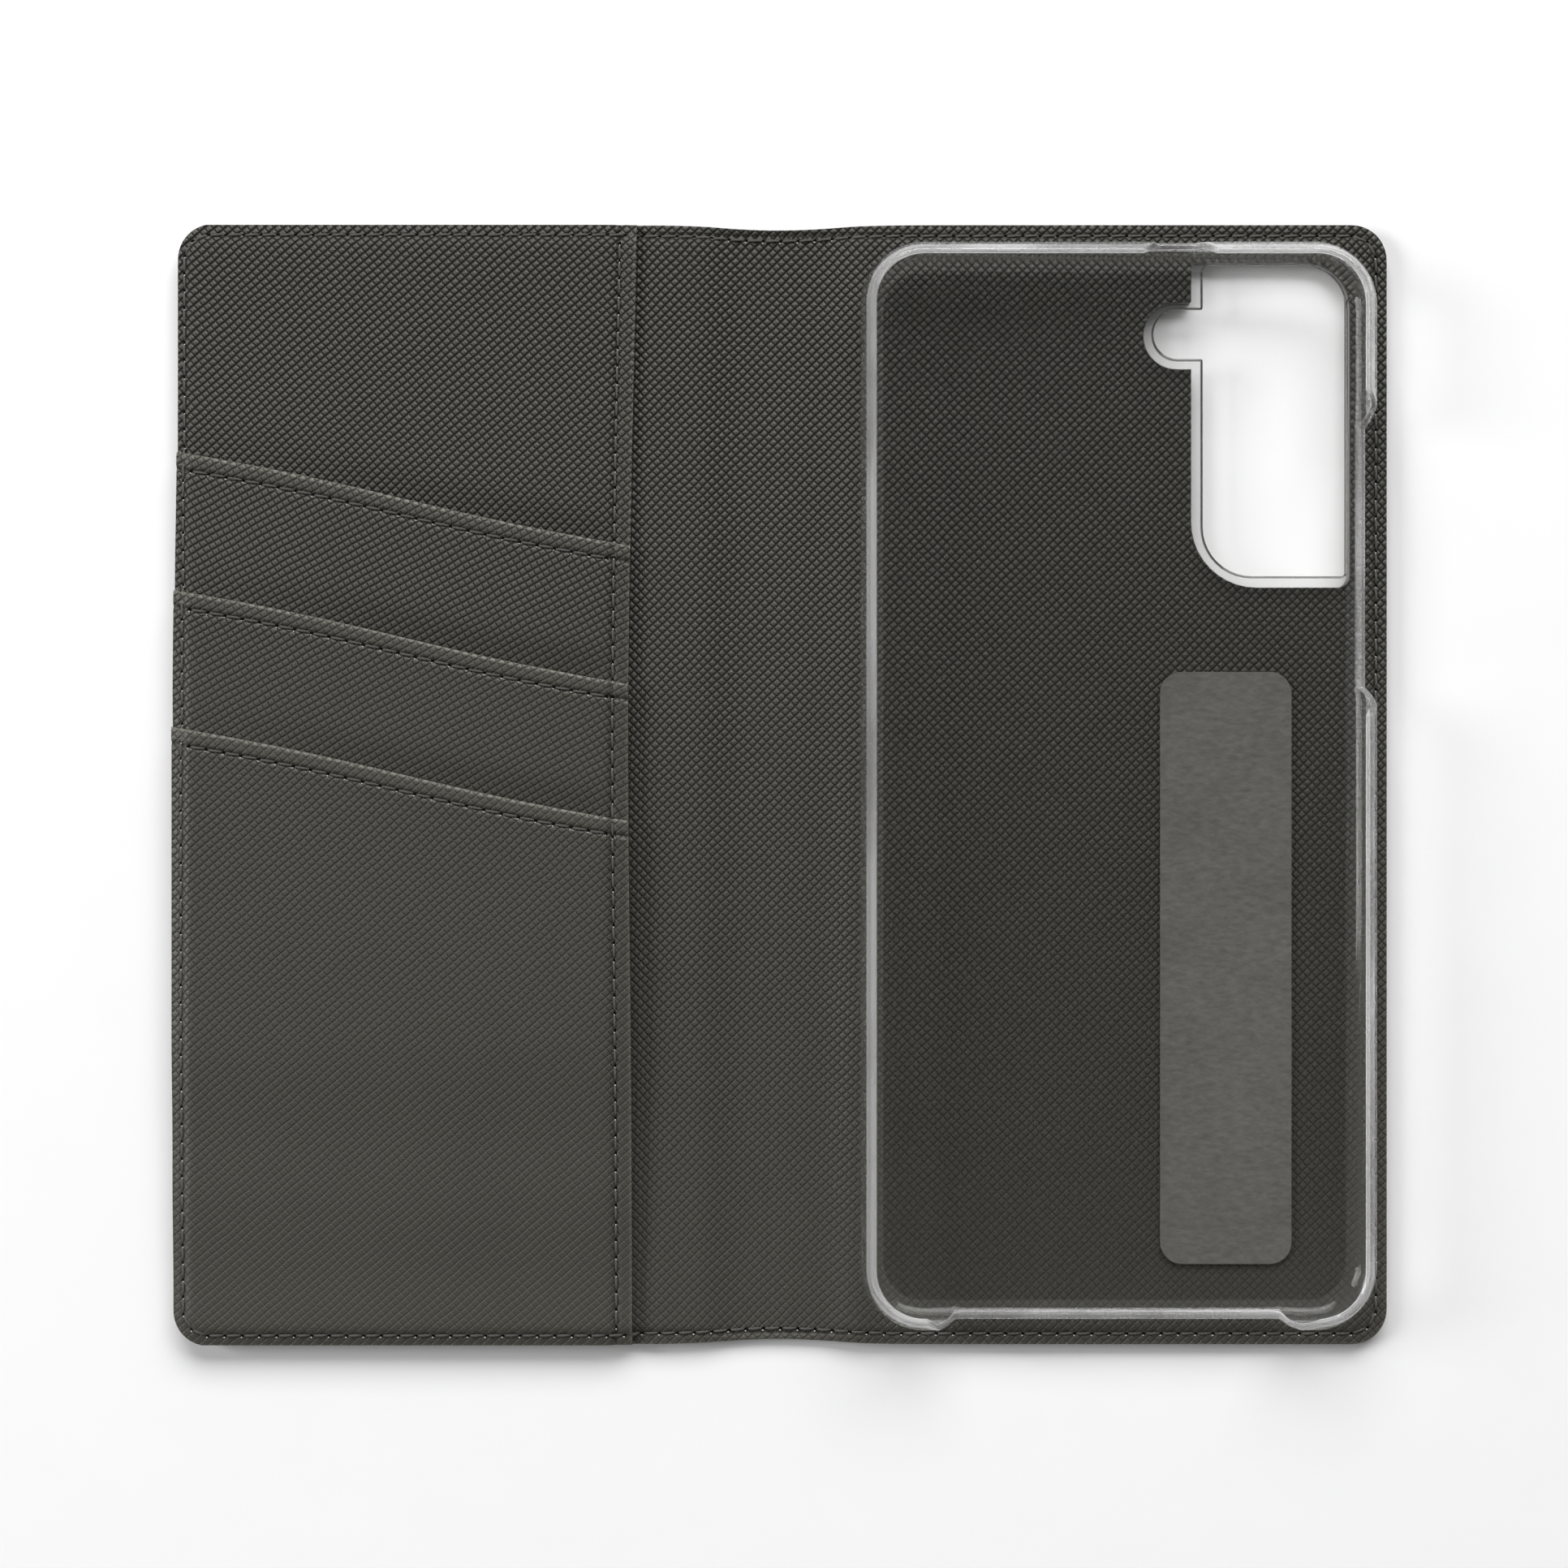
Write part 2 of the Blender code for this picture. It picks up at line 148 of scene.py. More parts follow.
class Bench:
    """Blender's own modelling operators, with the selection looked after."""

    @staticmethod
    def pick(obj: bpy.types.Object) -> bpy.types.Object:
        """Makes one object the only selected and the active one."""
        bpy.ops.object.select_all(action="DESELECT")
        obj.hide_set(False)
        obj.select_set(True)
        bpy.context.view_layer.objects.active = obj
        return obj

    @staticmethod
    def named(name: str) -> bpy.types.Object:
        """Names the object that was just added."""
        obj = bpy.context.object
        obj.name = name
        obj.data.name = name
        return obj

    @classmethod
    @contextmanager
    def editing(cls, obj: bpy.types.Object) -> Iterator[None]:
        """Edit mode on one object, with all of it selected."""
        cls.pick(obj)
        bpy.ops.object.mode_set(mode="EDIT")
        bpy.ops.mesh.select_all(action="SELECT")
        yield
        bpy.ops.object.mode_set(mode="OBJECT")

    @classmethod
    def apply(cls, obj: bpy.types.Object, kind: str, **settings: object) -> bpy.types.Object:
        """Adds a modifier with these settings and applies it.

        Args:
            obj: The piece.
            kind: The modifier's type.
            **settings: The modifier's properties.

        Returns:
            The piece.
        """
        cls.pick(obj)
        modifier = obj.modifiers.new(kind.lower(), kind)
        for key, value in settings.items():
            setattr(modifier, key, value)
        bpy.ops.object.modifier_apply(modifier=modifier.name)
        return obj

    @classmethod
    def grid(cls, name: str, x: np.ndarray, y: np.ndarray) -> bpy.types.Object:
        """A grid whose vertices are moved to given places.

        Args:
            name: The object's name.
            x: The vertices' x, one row of the array for each row of the grid.
            y: The vertices' y, in the same order.

        Returns:
            The grid, at height 0.
        """
        rows, columns = x.shape
        bpy.ops.object.select_all(action="DESELECT")
        bpy.ops.mesh.primitive_grid_add(x_subdivisions=columns - 1, y_subdivisions=rows - 1, size=2)
        obj = cls.named(name)
        order = np.lexsort((np.round(cls.points(obj)[:, 0], 5), np.round(cls.points(obj)[:, 1], 5)))
        places = np.zeros((rows * columns, 3))
        places[order, 0] = x.ravel()
        places[order, 1] = y.ravel()
        cls.move(obj, places)
        return obj

    @staticmethod
    def points(obj: bpy.types.Object) -> np.ndarray:
        """The mesh's vertices, one row each."""
        places = np.zeros(len(obj.data.vertices) * 3, np.float32)
        obj.data.vertices.foreach_get("co", places)
        return places.reshape(-1, 3).astype(float)

    @staticmethod
    def move(obj: bpy.types.Object, places: np.ndarray) -> None:
        """Moves the mesh's vertices to these places."""
        obj.data.vertices.foreach_set("co", places.astype(np.float32).ravel())
        obj.data.update()

    @classmethod
    def smooth(cls, obj: bpy.types.Object, degrees: float = 35.0) -> bpy.types.Object:
        """Shades a piece smooth, with edges sharper than an angle kept."""
        cls.pick(obj)
        bpy.ops.object.shade_smooth_by_angle(angle=math.radians(degrees))
        return obj

    @classmethod
    def plate(
        cls,
        name: str,
        x: tuple[float, float],
        y: tuple[float, float],
        z: tuple[float, float],
        radii: Sequence[float] = (0.0, 0.0, 0.0, 0.0),
        segments: int = 10,
    ) -> bpy.types.Object:
        """A flat plate with rounded upright corners.

        Args:
            name: The object's name.
            x: Its low and high x.
            y: Its low and high y.
            z: Its low and high z.
            radii: The corners' radii from the lower left one, anticlockwise.
            segments: How many segments a corner has.

        Returns:
            The plate.
        """
        bpy.ops.object.select_all(action="DESELECT")
        bpy.ops.mesh.primitive_plane_add(size=1, location=(sum(x) / 2, sum(y) / 2, z[0]))
        obj = cls.named(name)
        obj.scale = (x[1] - x[0], y[1] - y[0], 1.0)
        bpy.ops.object.transform_apply(location=True, rotation=True, scale=True)
        corners = ((x[0], y[0]), (x[1], y[0]), (x[1], y[1]), (x[0], y[1]))
        for corner, radius in zip(corners, radii):
            if radius <= 0.0:
                continue
            near = np.hypot(*(cls.points(obj)[:, :2] - corner).T).argmin()
            with cls.editing(obj):
                bpy.ops.mesh.select_mode(type="VERT")
                bpy.ops.mesh.select_all(action="DESELECT")
            obj.data.vertices[int(near)].select = True
            bpy.ops.object.mode_set(mode="EDIT")
            bpy.ops.mesh.bevel(affect="VERTICES", offset=radius, segments=segments, profile=0.5)
            bpy.ops.object.mode_set(mode="OBJECT")
        with cls.editing(obj):
            bpy.ops.mesh.extrude_region_move(TRANSFORM_OT_translate={"value": (0.0, 0.0, z[1] - z[0])})
            bpy.ops.mesh.select_all(action="SELECT")
            bpy.ops.mesh.normals_make_consistent(inside=False)
        return obj

    @classmethod
    def cut(cls, obj: bpy.types.Object, cutter: bpy.types.Object) -> None:
        """Takes a cutter's shape out of a piece, and the cutter away."""
        cls.apply(obj, "BOOLEAN", object=cutter, operation="DIFFERENCE", solver="EXACT",
                  material_mode="TRANSFER")
        bpy.data.objects.remove(cutter, do_unlink=True)

    @classmethod
    def keep_side(cls, obj: bpy.types.Object, name: str, x: float, sign: float) -> bpy.types.Object:
        """A copy of a piece's part on one side of an upright plane, closed where it is cut.

        Args:
            obj: The piece.
            name: The copy's name.
            x: The plane's place.
            sign: 1 keeps what has a higher x, -1 what has a lower one.

        Returns:
            The copy.
        """
        half = obj.copy()
        half.data = obj.data.copy()
        half.name = half.data.name = name
        bpy.context.scene.collection.objects.link(half)
        with cls.editing(half):
            bpy.ops.mesh.bisect(plane_co=(x, 0.0, 0.0), plane_no=(sign, 0.0, 0.0), use_fill=True,
                                clear_inner=True, clear_outer=False)
        return cls.smooth(half)

    @classmethod
    def join(cls, name: str, pieces: Sequence[bpy.types.Object]) -> bpy.types.Object:
        """Joins pieces into one object of a new name."""
        bpy.ops.object.select_all(action="DESELECT")
        for piece in pieces:
            piece.select_set(True)
        bpy.context.view_layer.objects.active = pieces[0]
        if len(pieces) > 1:
            bpy.ops.object.join()
        obj = bpy.context.object
        obj.name = obj.data.name = name
        return obj


# ---------------------------------------------------------------------------------------------
# Materials
# ---------------------------------------------------------------------------------------------


class Term:
    """A shader socket that takes part in Python's arithmetic."""

    def __init__(self, graph: "Graph", socket: bpy.types.NodeSocket) -> None:
        """Wraps a socket of a graph's node."""
        self.graph = graph
        self.socket = socket

    def _math(self, operation: str, *values: "Term | float") -> "Term":
        """A Math node on these values."""
        node = self.graph.node("ShaderNodeMath", {"operation": operation}, dict(enumerate(values)))
        return Term(self.graph, node.outputs[0])

    def __add__(self, other: "Term | float") -> "Term":
        """self + other."""
        return self._math("ADD", self, other)

    def __radd__(self, other: float) -> "Term":
        """other + self."""
        return self._math("ADD", other, self)

    def __sub__(self, other: "Term | float") -> "Term":
        """self - other."""
        return self._math("SUBTRACT", self, other)

    def __rsub__(self, other: float) -> "Term":
        """other - self."""
        return self._math("SUBTRACT", other, self)

    def __mul__(self, other: "Term | float") -> "Term":
        """self * other."""
        return self._math("MULTIPLY", self, other)

    def __rmul__(self, other: float) -> "Term":
        """other * self."""
        return self._math("MULTIPLY", other, self)

    def __pow__(self, other: float) -> "Term":
        """self to a power."""
        return self._math("POWER", self, other)

    def __abs__(self) -> "Term":
        """The absolute value."""
        return self._math("ABSOLUTE", self)

    def fraction(self) -> "Term":
        """What is left over from whole numbers."""
        return self._math("FRACT", self)

    def rise(self, low: float, high: float) -> "Term":
        """A smooth rise from 0 to 1 between two values."""
        node = self.graph.node(
            "ShaderNodeMapRange",
            {"interpolation_type": "SMOOTHSTEP"},
            {"Value": self, "From Min": low, "From Max": high},
        )
        return Term(self.graph, node.outputs[0])


class Graph:
    """A material's nodes, ending in one Principled shader."""

    def __init__(self, name: str) -> None:
        """Starts an empty material."""
        self.material = bpy.data.materials.new(name)
        self.material.use_nodes = True
        self.tree = self.material.node_tree
        self.tree.nodes.clear()

    def node(self, kind: str, settings: dict | None = None,
             inputs: dict | None = None) -> bpy.types.Node:
        """Adds any node.

        Args:
            kind: The node's type.
            settings: The node's own properties, set first.
            inputs: Values or links, by the sockets' names or numbers.

        Returns:
            The node.
        """
        node = self.tree.nodes.new(kind)
        for key, value in (settings or {}).items():
            setattr(node, key, value)
        for key, value in (inputs or {}).items():
            if isinstance(value, Term):
                self.tree.links.new(value.socket, node.inputs[key])
            else:
                node.inputs[key].default_value = value
        return node

    def term(self, node: bpy.types.Node, output: str | int = 0) -> Term:
        """One of a node's outputs."""
        return Term(self, node.outputs[output])

    def place(self, offset: Sequence[float] = (0, 0, 0), turn: float = 0.0, scale: float = 1.0 / MM,
              stretch: Sequence[float] = (1, 1, 1), uv: str | None = None) -> Term:
        """Coordinates on the piece, from Object space or from a UV map.

        Args:
            offset: How far the pattern is moved, after it is scaled.
            turn: How far it is turned about Z, in radians.
            scale: Pattern units in a metre.
            stretch: Scales of the three axes.
            uv: The UV map's name.

        Returns:
            The coordinates.
        """
        if uv:
            source = self.term(self.node("ShaderNodeUVMap", {"uv_map": uv}))
        else:
            source = self.term(self.node("ShaderNodeTexCoord"), "Object")
        scales = [scale * s for s in stretch]
        return self.term(self.node("ShaderNodeMapping", {}, {
            "Vector": source, "Location": offset, "Rotation": (0, 0, turn), "Scale": scales}))

    def noise(self, vector: Term, scale: float, detail: float = 3.0, rough: float = 0.5) -> Term:
        """Smooth noise, about 0 to 1."""
        return self.term(self.node("ShaderNodeTexNoise", {}, {
            "Vector": vector, "Scale": scale, "Detail": detail, "Roughness": rough}), "Fac")

    def attribute(self, name: str) -> Term:
        """A number that the piece's vertices carry."""
        return self.term(self.node("ShaderNodeAttribute", {"attribute_name": name}), "Fac")

    def blend(self, factor: Term, low: "Term | Sequence[float]",
              high: "Term | Sequence[float]") -> Term:
        """A colour between two colours."""
        node = self.node("ShaderNodeMix", {"data_type": "RGBA"}, {0: factor, 6: low, 7: high})
        return Term(self, node.outputs[2])

    def tint(self, tone: Term, colour: Sequence[float]) -> Term:
        """A colour from black to this one."""
        return self.blend(tone, (0, 0, 0, 1), colour)

    def bump(self, height: Term, distance: float) -> Term:
        """A surface's normal under this relief."""
        inputs = {"Height": height, "Distance": distance, "Strength": 1.0}
        return self.term(self.node("ShaderNodeBump", {}, inputs), "Normal")

    def finish(self, shader: dict) -> bpy.types.Material:
        """Ends the graph in a Principled shader with these inputs."""
        node = self.node("ShaderNodeBsdfPrincipled", {}, shader)
        output = self.node("ShaderNodeOutputMaterial")
        self.tree.links.new(node.outputs[0], output.inputs["Surface"])
        return self.material


def shade(colour: Sequence[float], factor: float) -> tuple[float, float, float, float]:
    """A colour made lighter or darker, with full alpha."""
    return (colour[0] * factor, colour[1] * factor, colour[2] * factor, 1.0)


@dataclass(frozen=True)
class PressedLeather:
    """Split leather with a coating, pressed in small squares that stand on their corners."""

    name: str
    turn_deg: float = 0.0
    pitch: float = 1.0 * MM
    groove_depth: float = 0.30 * MM
    colour: tuple[float, float, float] = (0.0500, 0.0480, 0.0390)
    roughness: float = 0.36

    def build(self) -> bpy.types.Material:
        """Makes the material."""
        g = Graph(self.name)
        turn = math.radians(45.0 + self.turn_deg)
        cells = g.place(turn=turn, scale=1.0 / self.pitch, uv=GRAIN_UV)
        drift = g.node("ShaderNodeTexNoise", {}, {"Vector": cells, "Scale": 0.22, "Detail": 1.0})
        warp = g.node("ShaderNodeVectorMath", {"operation": "MULTIPLY_ADD"}, {
            0: g.term(drift, "Color"), 1: (0.40, 0.40, 0.0)})
        g.tree.links.new(cells.socket, warp.inputs[2])
        warped = g.term(warp)
        split = g.node("ShaderNodeSeparateXYZ", {}, {0: warped})
        across = abs(g.term(split, 0).fraction() - 0.5) * 2.0
        along = abs(g.term(split, 1).fraction() - 0.5) * 2.0
        reach = (across ** 5.0 + along ** 5.0) ** 0.2
        square = 1.0 - reach.rise(0.72, 1.0)
        pillow = 1.0 - reach ** 2.0
        whole = g.node("ShaderNodeVectorMath", {"operation": "FLOOR"}, {0: warped})
        lot = g.term(g.node("ShaderNodeTexWhiteNoise", {"noise_dimensions": "2D"}, {
            "Vector": g.term(whole)}), "Value")
        pores = g.noise(cells, 7.0, 4.0, 0.65)
        cloud = g.noise(cells, 0.05, 3.0, 0.6)
        press = g.attribute(PRESS)
        # How deep the grain is, which also scales its painted groove shade.
        relief_and_shade_share = g.attribute(DEPTH_AND_SHADE)
        keep = (1.0 - press * 0.7) * relief_and_shade_share
        relief = (square * 0.80 + pillow * 0.42) * (0.92 + lot * 0.16) * keep + pores * 0.10
        normal = g.bump(relief, self.groove_depth)
        # The grooves between the squares are painted darker than their tops: painted shade in the
        # grain's recesses, stronger where the grain is deeper and weaker where it is pressed flat.
        tone = (square * keep * 0.55 + 1.0 - keep * 0.55) * (0.90 + lot * 0.07 + pores * 0.14)
        tone = tone * (0.88 + cloud * 0.24)
        wear_and_highlight = g.attribute(WEAR_AND_HIGHLIGHT)
        colour = g.tint(tone, shade(self.colour, 1.15))
        # The much lighter colour marks worn edges, and on the hem folds it is a painted highlight.
        colour = g.blend(wear_and_highlight * 0.8, colour, shade(self.colour, 3.4))
        roughness = self.roughness + (1.0 - square) * 0.25 + pores * 0.12 - wear_and_highlight * 0.08
        return g.finish({
            "Base Color": colour, "Roughness": roughness, "Normal": normal,
            "Specular IOR Level": 0.5, "IOR": 1.45})


@dataclass(frozen=True)
class CutEdge:
    """The inked edge of cut leather."""

    name: str
    colour: tuple[float, float, float] = (0.022, 0.021, 0.019)

    def build(self) -> bpy.types.Material:
        """Makes the material."""
        g = Graph(self.name)
        fibres = g.noise(g.place(stretch=(1, 1, 4)), 2.2, 5.0, 0.7)
        tone = 0.55 + fibres * 0.9
        return g.finish({
            "Base Color": g.tint(tone, shade(self.colour, 1.2)),
            "Roughness": 0.62 + fibres * 0.25,
            "Normal": g.bump(fibres, 0.06 * MM)})


@dataclass(frozen=True)
class SewingThread:
    """Bonded twisted thread."""

    name: str
    colour: tuple[float, float, float] = (0.062, 0.060, 0.053)
    roughness: float = 0.34

    def build(self) -> bpy.types.Material:
        """Makes the material."""
        g = Graph(self.name)
        spun = g.place(turn=math.radians(38.0))
        ply = g.term(g.node("ShaderNodeTexWave", {"wave_type": "BANDS"}, {
            "Vector": spun, "Scale": 1.6, "Distortion": 1.5, "Detail": 1.0}), "Fac")
        fuzz = g.noise(spun, 6.0, 3.0, 0.6)
        return g.finish({
            "Base Color": g.tint(0.45 + ply * 0.4 + fuzz * 0.3, shade(self.colour, 1.5)),
            "Roughness": self.roughness + fuzz * 0.15,
            "Normal": g.bump(ply + fuzz * 0.4, 0.05 * MM)})


@dataclass(frozen=True)
class PinholeShade:
    """Near-black painted shade for the inside of the needle holes."""

    name: str

    def build(self) -> bpy.types.Material:
        """Makes the material."""
        g = Graph(self.name)
        grit = g.noise(g.place(), 8.0, 2.0)
        return g.finish({
            "Base Color": g.blend(grit, (0.001, 0.001, 0.001, 1), (0.006, 0.006, 0.006, 1)),
            "Roughness": 0.9 + grit * 0.1, "Specular IOR Level": 0.05})


@dataclass(frozen=True)
class FeltPad:
    """The matt fibrous face of the bonding pad."""

    name: str
    colour: tuple[float, float, float] = (0.135, 0.132, 0.119)

    def build(self) -> bpy.types.Material:
        """Makes the material."""
        g = Graph(self.name)
        strands = g.noise(g.place(turn=0.9, stretch=(0.5, 1.2, 1)), 1.1, 5.0, 0.7)
        crossed = g.noise(g.place(turn=-0.8, stretch=(0.5, 1.2, 1)), 1.3, 5.0, 0.7)
        cloud = g.noise(g.place(), 0.08, 2.0)
        fuzz = strands * 0.5 + crossed * 0.5
        return g.finish({
            "Base Color": g.tint(fuzz * 1.5 + cloud * 0.3 - 0.1, shade(self.colour, 1.25)),
            "Roughness": 0.85 + fuzz * 0.15,
            "Sheen Weight": 0.2,
            "Normal": g.bump(fuzz, 0.12 * MM)})


@dataclass(frozen=True)
class GreyBoard:
    """Pressed paper board."""

    name: str
    colour: tuple[float, float, float] = (0.30, 0.285, 0.255)

    def build(self) -> bpy.types.Material:
        """Makes the material."""
        g = Graph(self.name)
        flecks = g.noise(g.place(stretch=(0.6, 1.4, 3)), 1.2, 5.0, 0.75)
        return g.finish({
            "Base Color": g.tint(0.4 + flecks * 0.9, shade(self.colour, 1.1)),
            "Roughness": 0.8 + flecks * 0.15,
            "Normal": g.bump(flecks, 0.05 * MM)})


@dataclass(frozen=True)
class ClearPlastic:
    """Polished clear polycarbonate, which lets part of the light through unbent."""

    name: str
    colour: tuple[float, float, float] = (0.93, 0.94, 0.93)
    weight: float = 0.8
    clear: float = 1.0
    roughness: float = 0.02
    highlight_patchiness: float = 0.03

    def build(self) -> bpy.types.Material:
        """Makes the material."""
        g = Graph(self.name)
        scuff = g.noise(g.place(turn=0.3, stretch=(1, 0.3, 1)), 0.4, 4.0, 0.6)
        haze = g.noise(g.place(), 0.05, 2.0)
        # Patches of higher and lower alpha; on the lip they break its painted highlight into
        # stretches.
        highlight_patches = g.noise(g.place(offset=(3, 5, 1)), 0.045, 2.0).rise(0.38, 0.62)
        low = self.weight * (1.0 - self.highlight_patchiness)
        return g.finish({
            "Base Color": g.blend(haze, shade(self.colour, 0.95), shade(self.colour, 1.03)),
            "Roughness": self.roughness + scuff * 0.03,
            "Alpha": low + highlight_patches * (self.weight * self.highlight_patchiness * 2.0),
            "Transmission Weight": self.clear, "IOR": 1.5,
            "Normal": g.bump(haze, 0.05 * MM)})


@dataclass(frozen=True)
class StudioFloor:
    """A plain pale floor."""

    name: str
    colour: tuple[float, float, float] = (0.93, 0.93, 0.93)

    def build(self) -> bpy.types.Material:
        """Makes the material."""
        g = Graph(self.name)
        grain = g.noise(g.place(scale=100.0), 1.0, 2.0)
        return g.finish({
            "Base Color": g.blend(grain, shade(self.colour, 0.99), shade(self.colour, 1.01)),
            "Roughness": 0.9, "Specular IOR Level": 0.1})


class Finishes:
    """The finishes, each made once."""

    def __init__(self) -> None:
        """Makes all materials."""
        self.spine_side = PressedLeather("pressed_leather_lining", 1.3).build()
        self.outside = PressedLeather("pressed_leather_outside", 1.3).build()
        turns = {"cash": 4.0, "top": 15.0, "middle": 14.0, "bottom": 4.5}
        self.panels = {
            level: PressedLeather(f"pressed_leather_{level}_pocket", turn).build()
            for level, turn in turns.items()}
        self.edge = CutEdge("inked_leather_edge").build()
        self.thread = SewingThread("sewing_thread").build()
        # The thread's loop is coloured pale as a painted glint.
        self.knot = SewingThread("sewing_thread_loop_glint", (0.42, 0.42, 0.40), 0.2).build()
        # The needle holes are drawn as near-black discs of painted shade.
        self.pinhole_shade = PinholeShade("needle_hole_shade").build()
        self.felt = FeltPad("bonding_felt").build()
        self.board = GreyBoard("grey_board").build()
        self.clear = (
            ClearPlastic("clear_polycarbonate_wall", weight=0.34, clear=0.97).build(),
            # The shell's floor is tinted grey as painted shade that darkens the lining seen through
            # it.
            ClearPlastic("clear_polycarbonate_floor", (0.45, 0.45, 0.44), 0.20, 1.0, 0.28).build(),
            # The window's cut edges in the clear plastic are near-black painted shade.
            ClearPlastic("clear_polycarbonate_cut", (0.05, 0.05, 0.05), 0.85, 0.0, 0.1).build(),
            # The lip is milky white as a painted highlight along the rim, broken into brighter and
            # dimmer stretches.
            ClearPlastic("clear_polycarbonate_lip", (0.96, 0.96, 0.96), 0.68, 0.69, 0.04,
                         0.30).build(),
        )
        self.floor = StudioFloor("studio_floor").build()


# ---------------------------------------------------------------------------------------------
# Leather
# ---------------------------------------------------------------------------------------------


@dataclass(frozen=True)
class Outline:
    """The open case's outline: a rectangle with rounded corners."""

    half_width: float
    half_length: float
    corner: float = 5.4 * MM
    corner_reach: float = 4.0 * MM
    spine_sag: float = 0.7 * MM
    sag_depth: float = 14.0 * MM
    left_taper: float = 0.006

    def inward(self, x: np.ndarray, y: np.ndarray) -> np.ndarray:
        """How far points lie inside the edge."""
        qx = np.abs(x) - (self.half_width - self.corner)
        qy = np.abs(y) - (self.half_length - self.corner)
        away = np.hypot(np.maximum(qx, 0), np.maximum(qy, 0)) + np.minimum(np.maximum(qx, qy), 0)
        return self.corner - away

    def fit(self, x: np.ndarray, y: np.ndarray) -> tuple[np.ndarray, np.ndarray]:
        """Moves points of a plain rectangle so that its corners are round and its ends sag.

        Args:
            x: The points' x.
            y: The points' y.

        Returns:
            The moved x and y.
        """
        past = np.clip(np.abs(y) - (self.half_length - self.corner), 0.0, self.corner)
        edge = self.half_width - self.corner + np.sqrt(self.corner**2 - past**2)
        start = self.half_width - self.corner - self.corner_reach
        share = np.clip((np.abs(x) - start) / (self.half_width - start), 0.0, None)
        fitted = np.where(share > 0, np.sign(x) * (start + share * (edge - start)), x)
        fitted = self.tapered(fitted, y)
        return fitted, y - np.sign(y) * self.sag(fitted) * self.sag_share(y)

    def tapered(self, x: np.ndarray, y: np.ndarray) -> np.ndarray:
        """Draws the front cover's side in a little above the pockets."""
        share = self.left_taper * ease((y - 12.0 * MM) / (48.0 * MM))
        return np.where(x < 0, x * (1.0 - share), x)

    def sag(self, x: np.ndarray) -> np.ndarray:
        """How far the ends lie in at the spine, where no board holds them out."""
        return self.spine_sag * hollow(np.abs(x + 0.5 * MM), 11.0 * MM)

    def sag_share(self, y: np.ndarray) -> np.ndarray:
        """How much of the sag reaches a point."""
        return ease((np.abs(y) - (self.half_length - self.sag_depth)) / self.sag_depth)


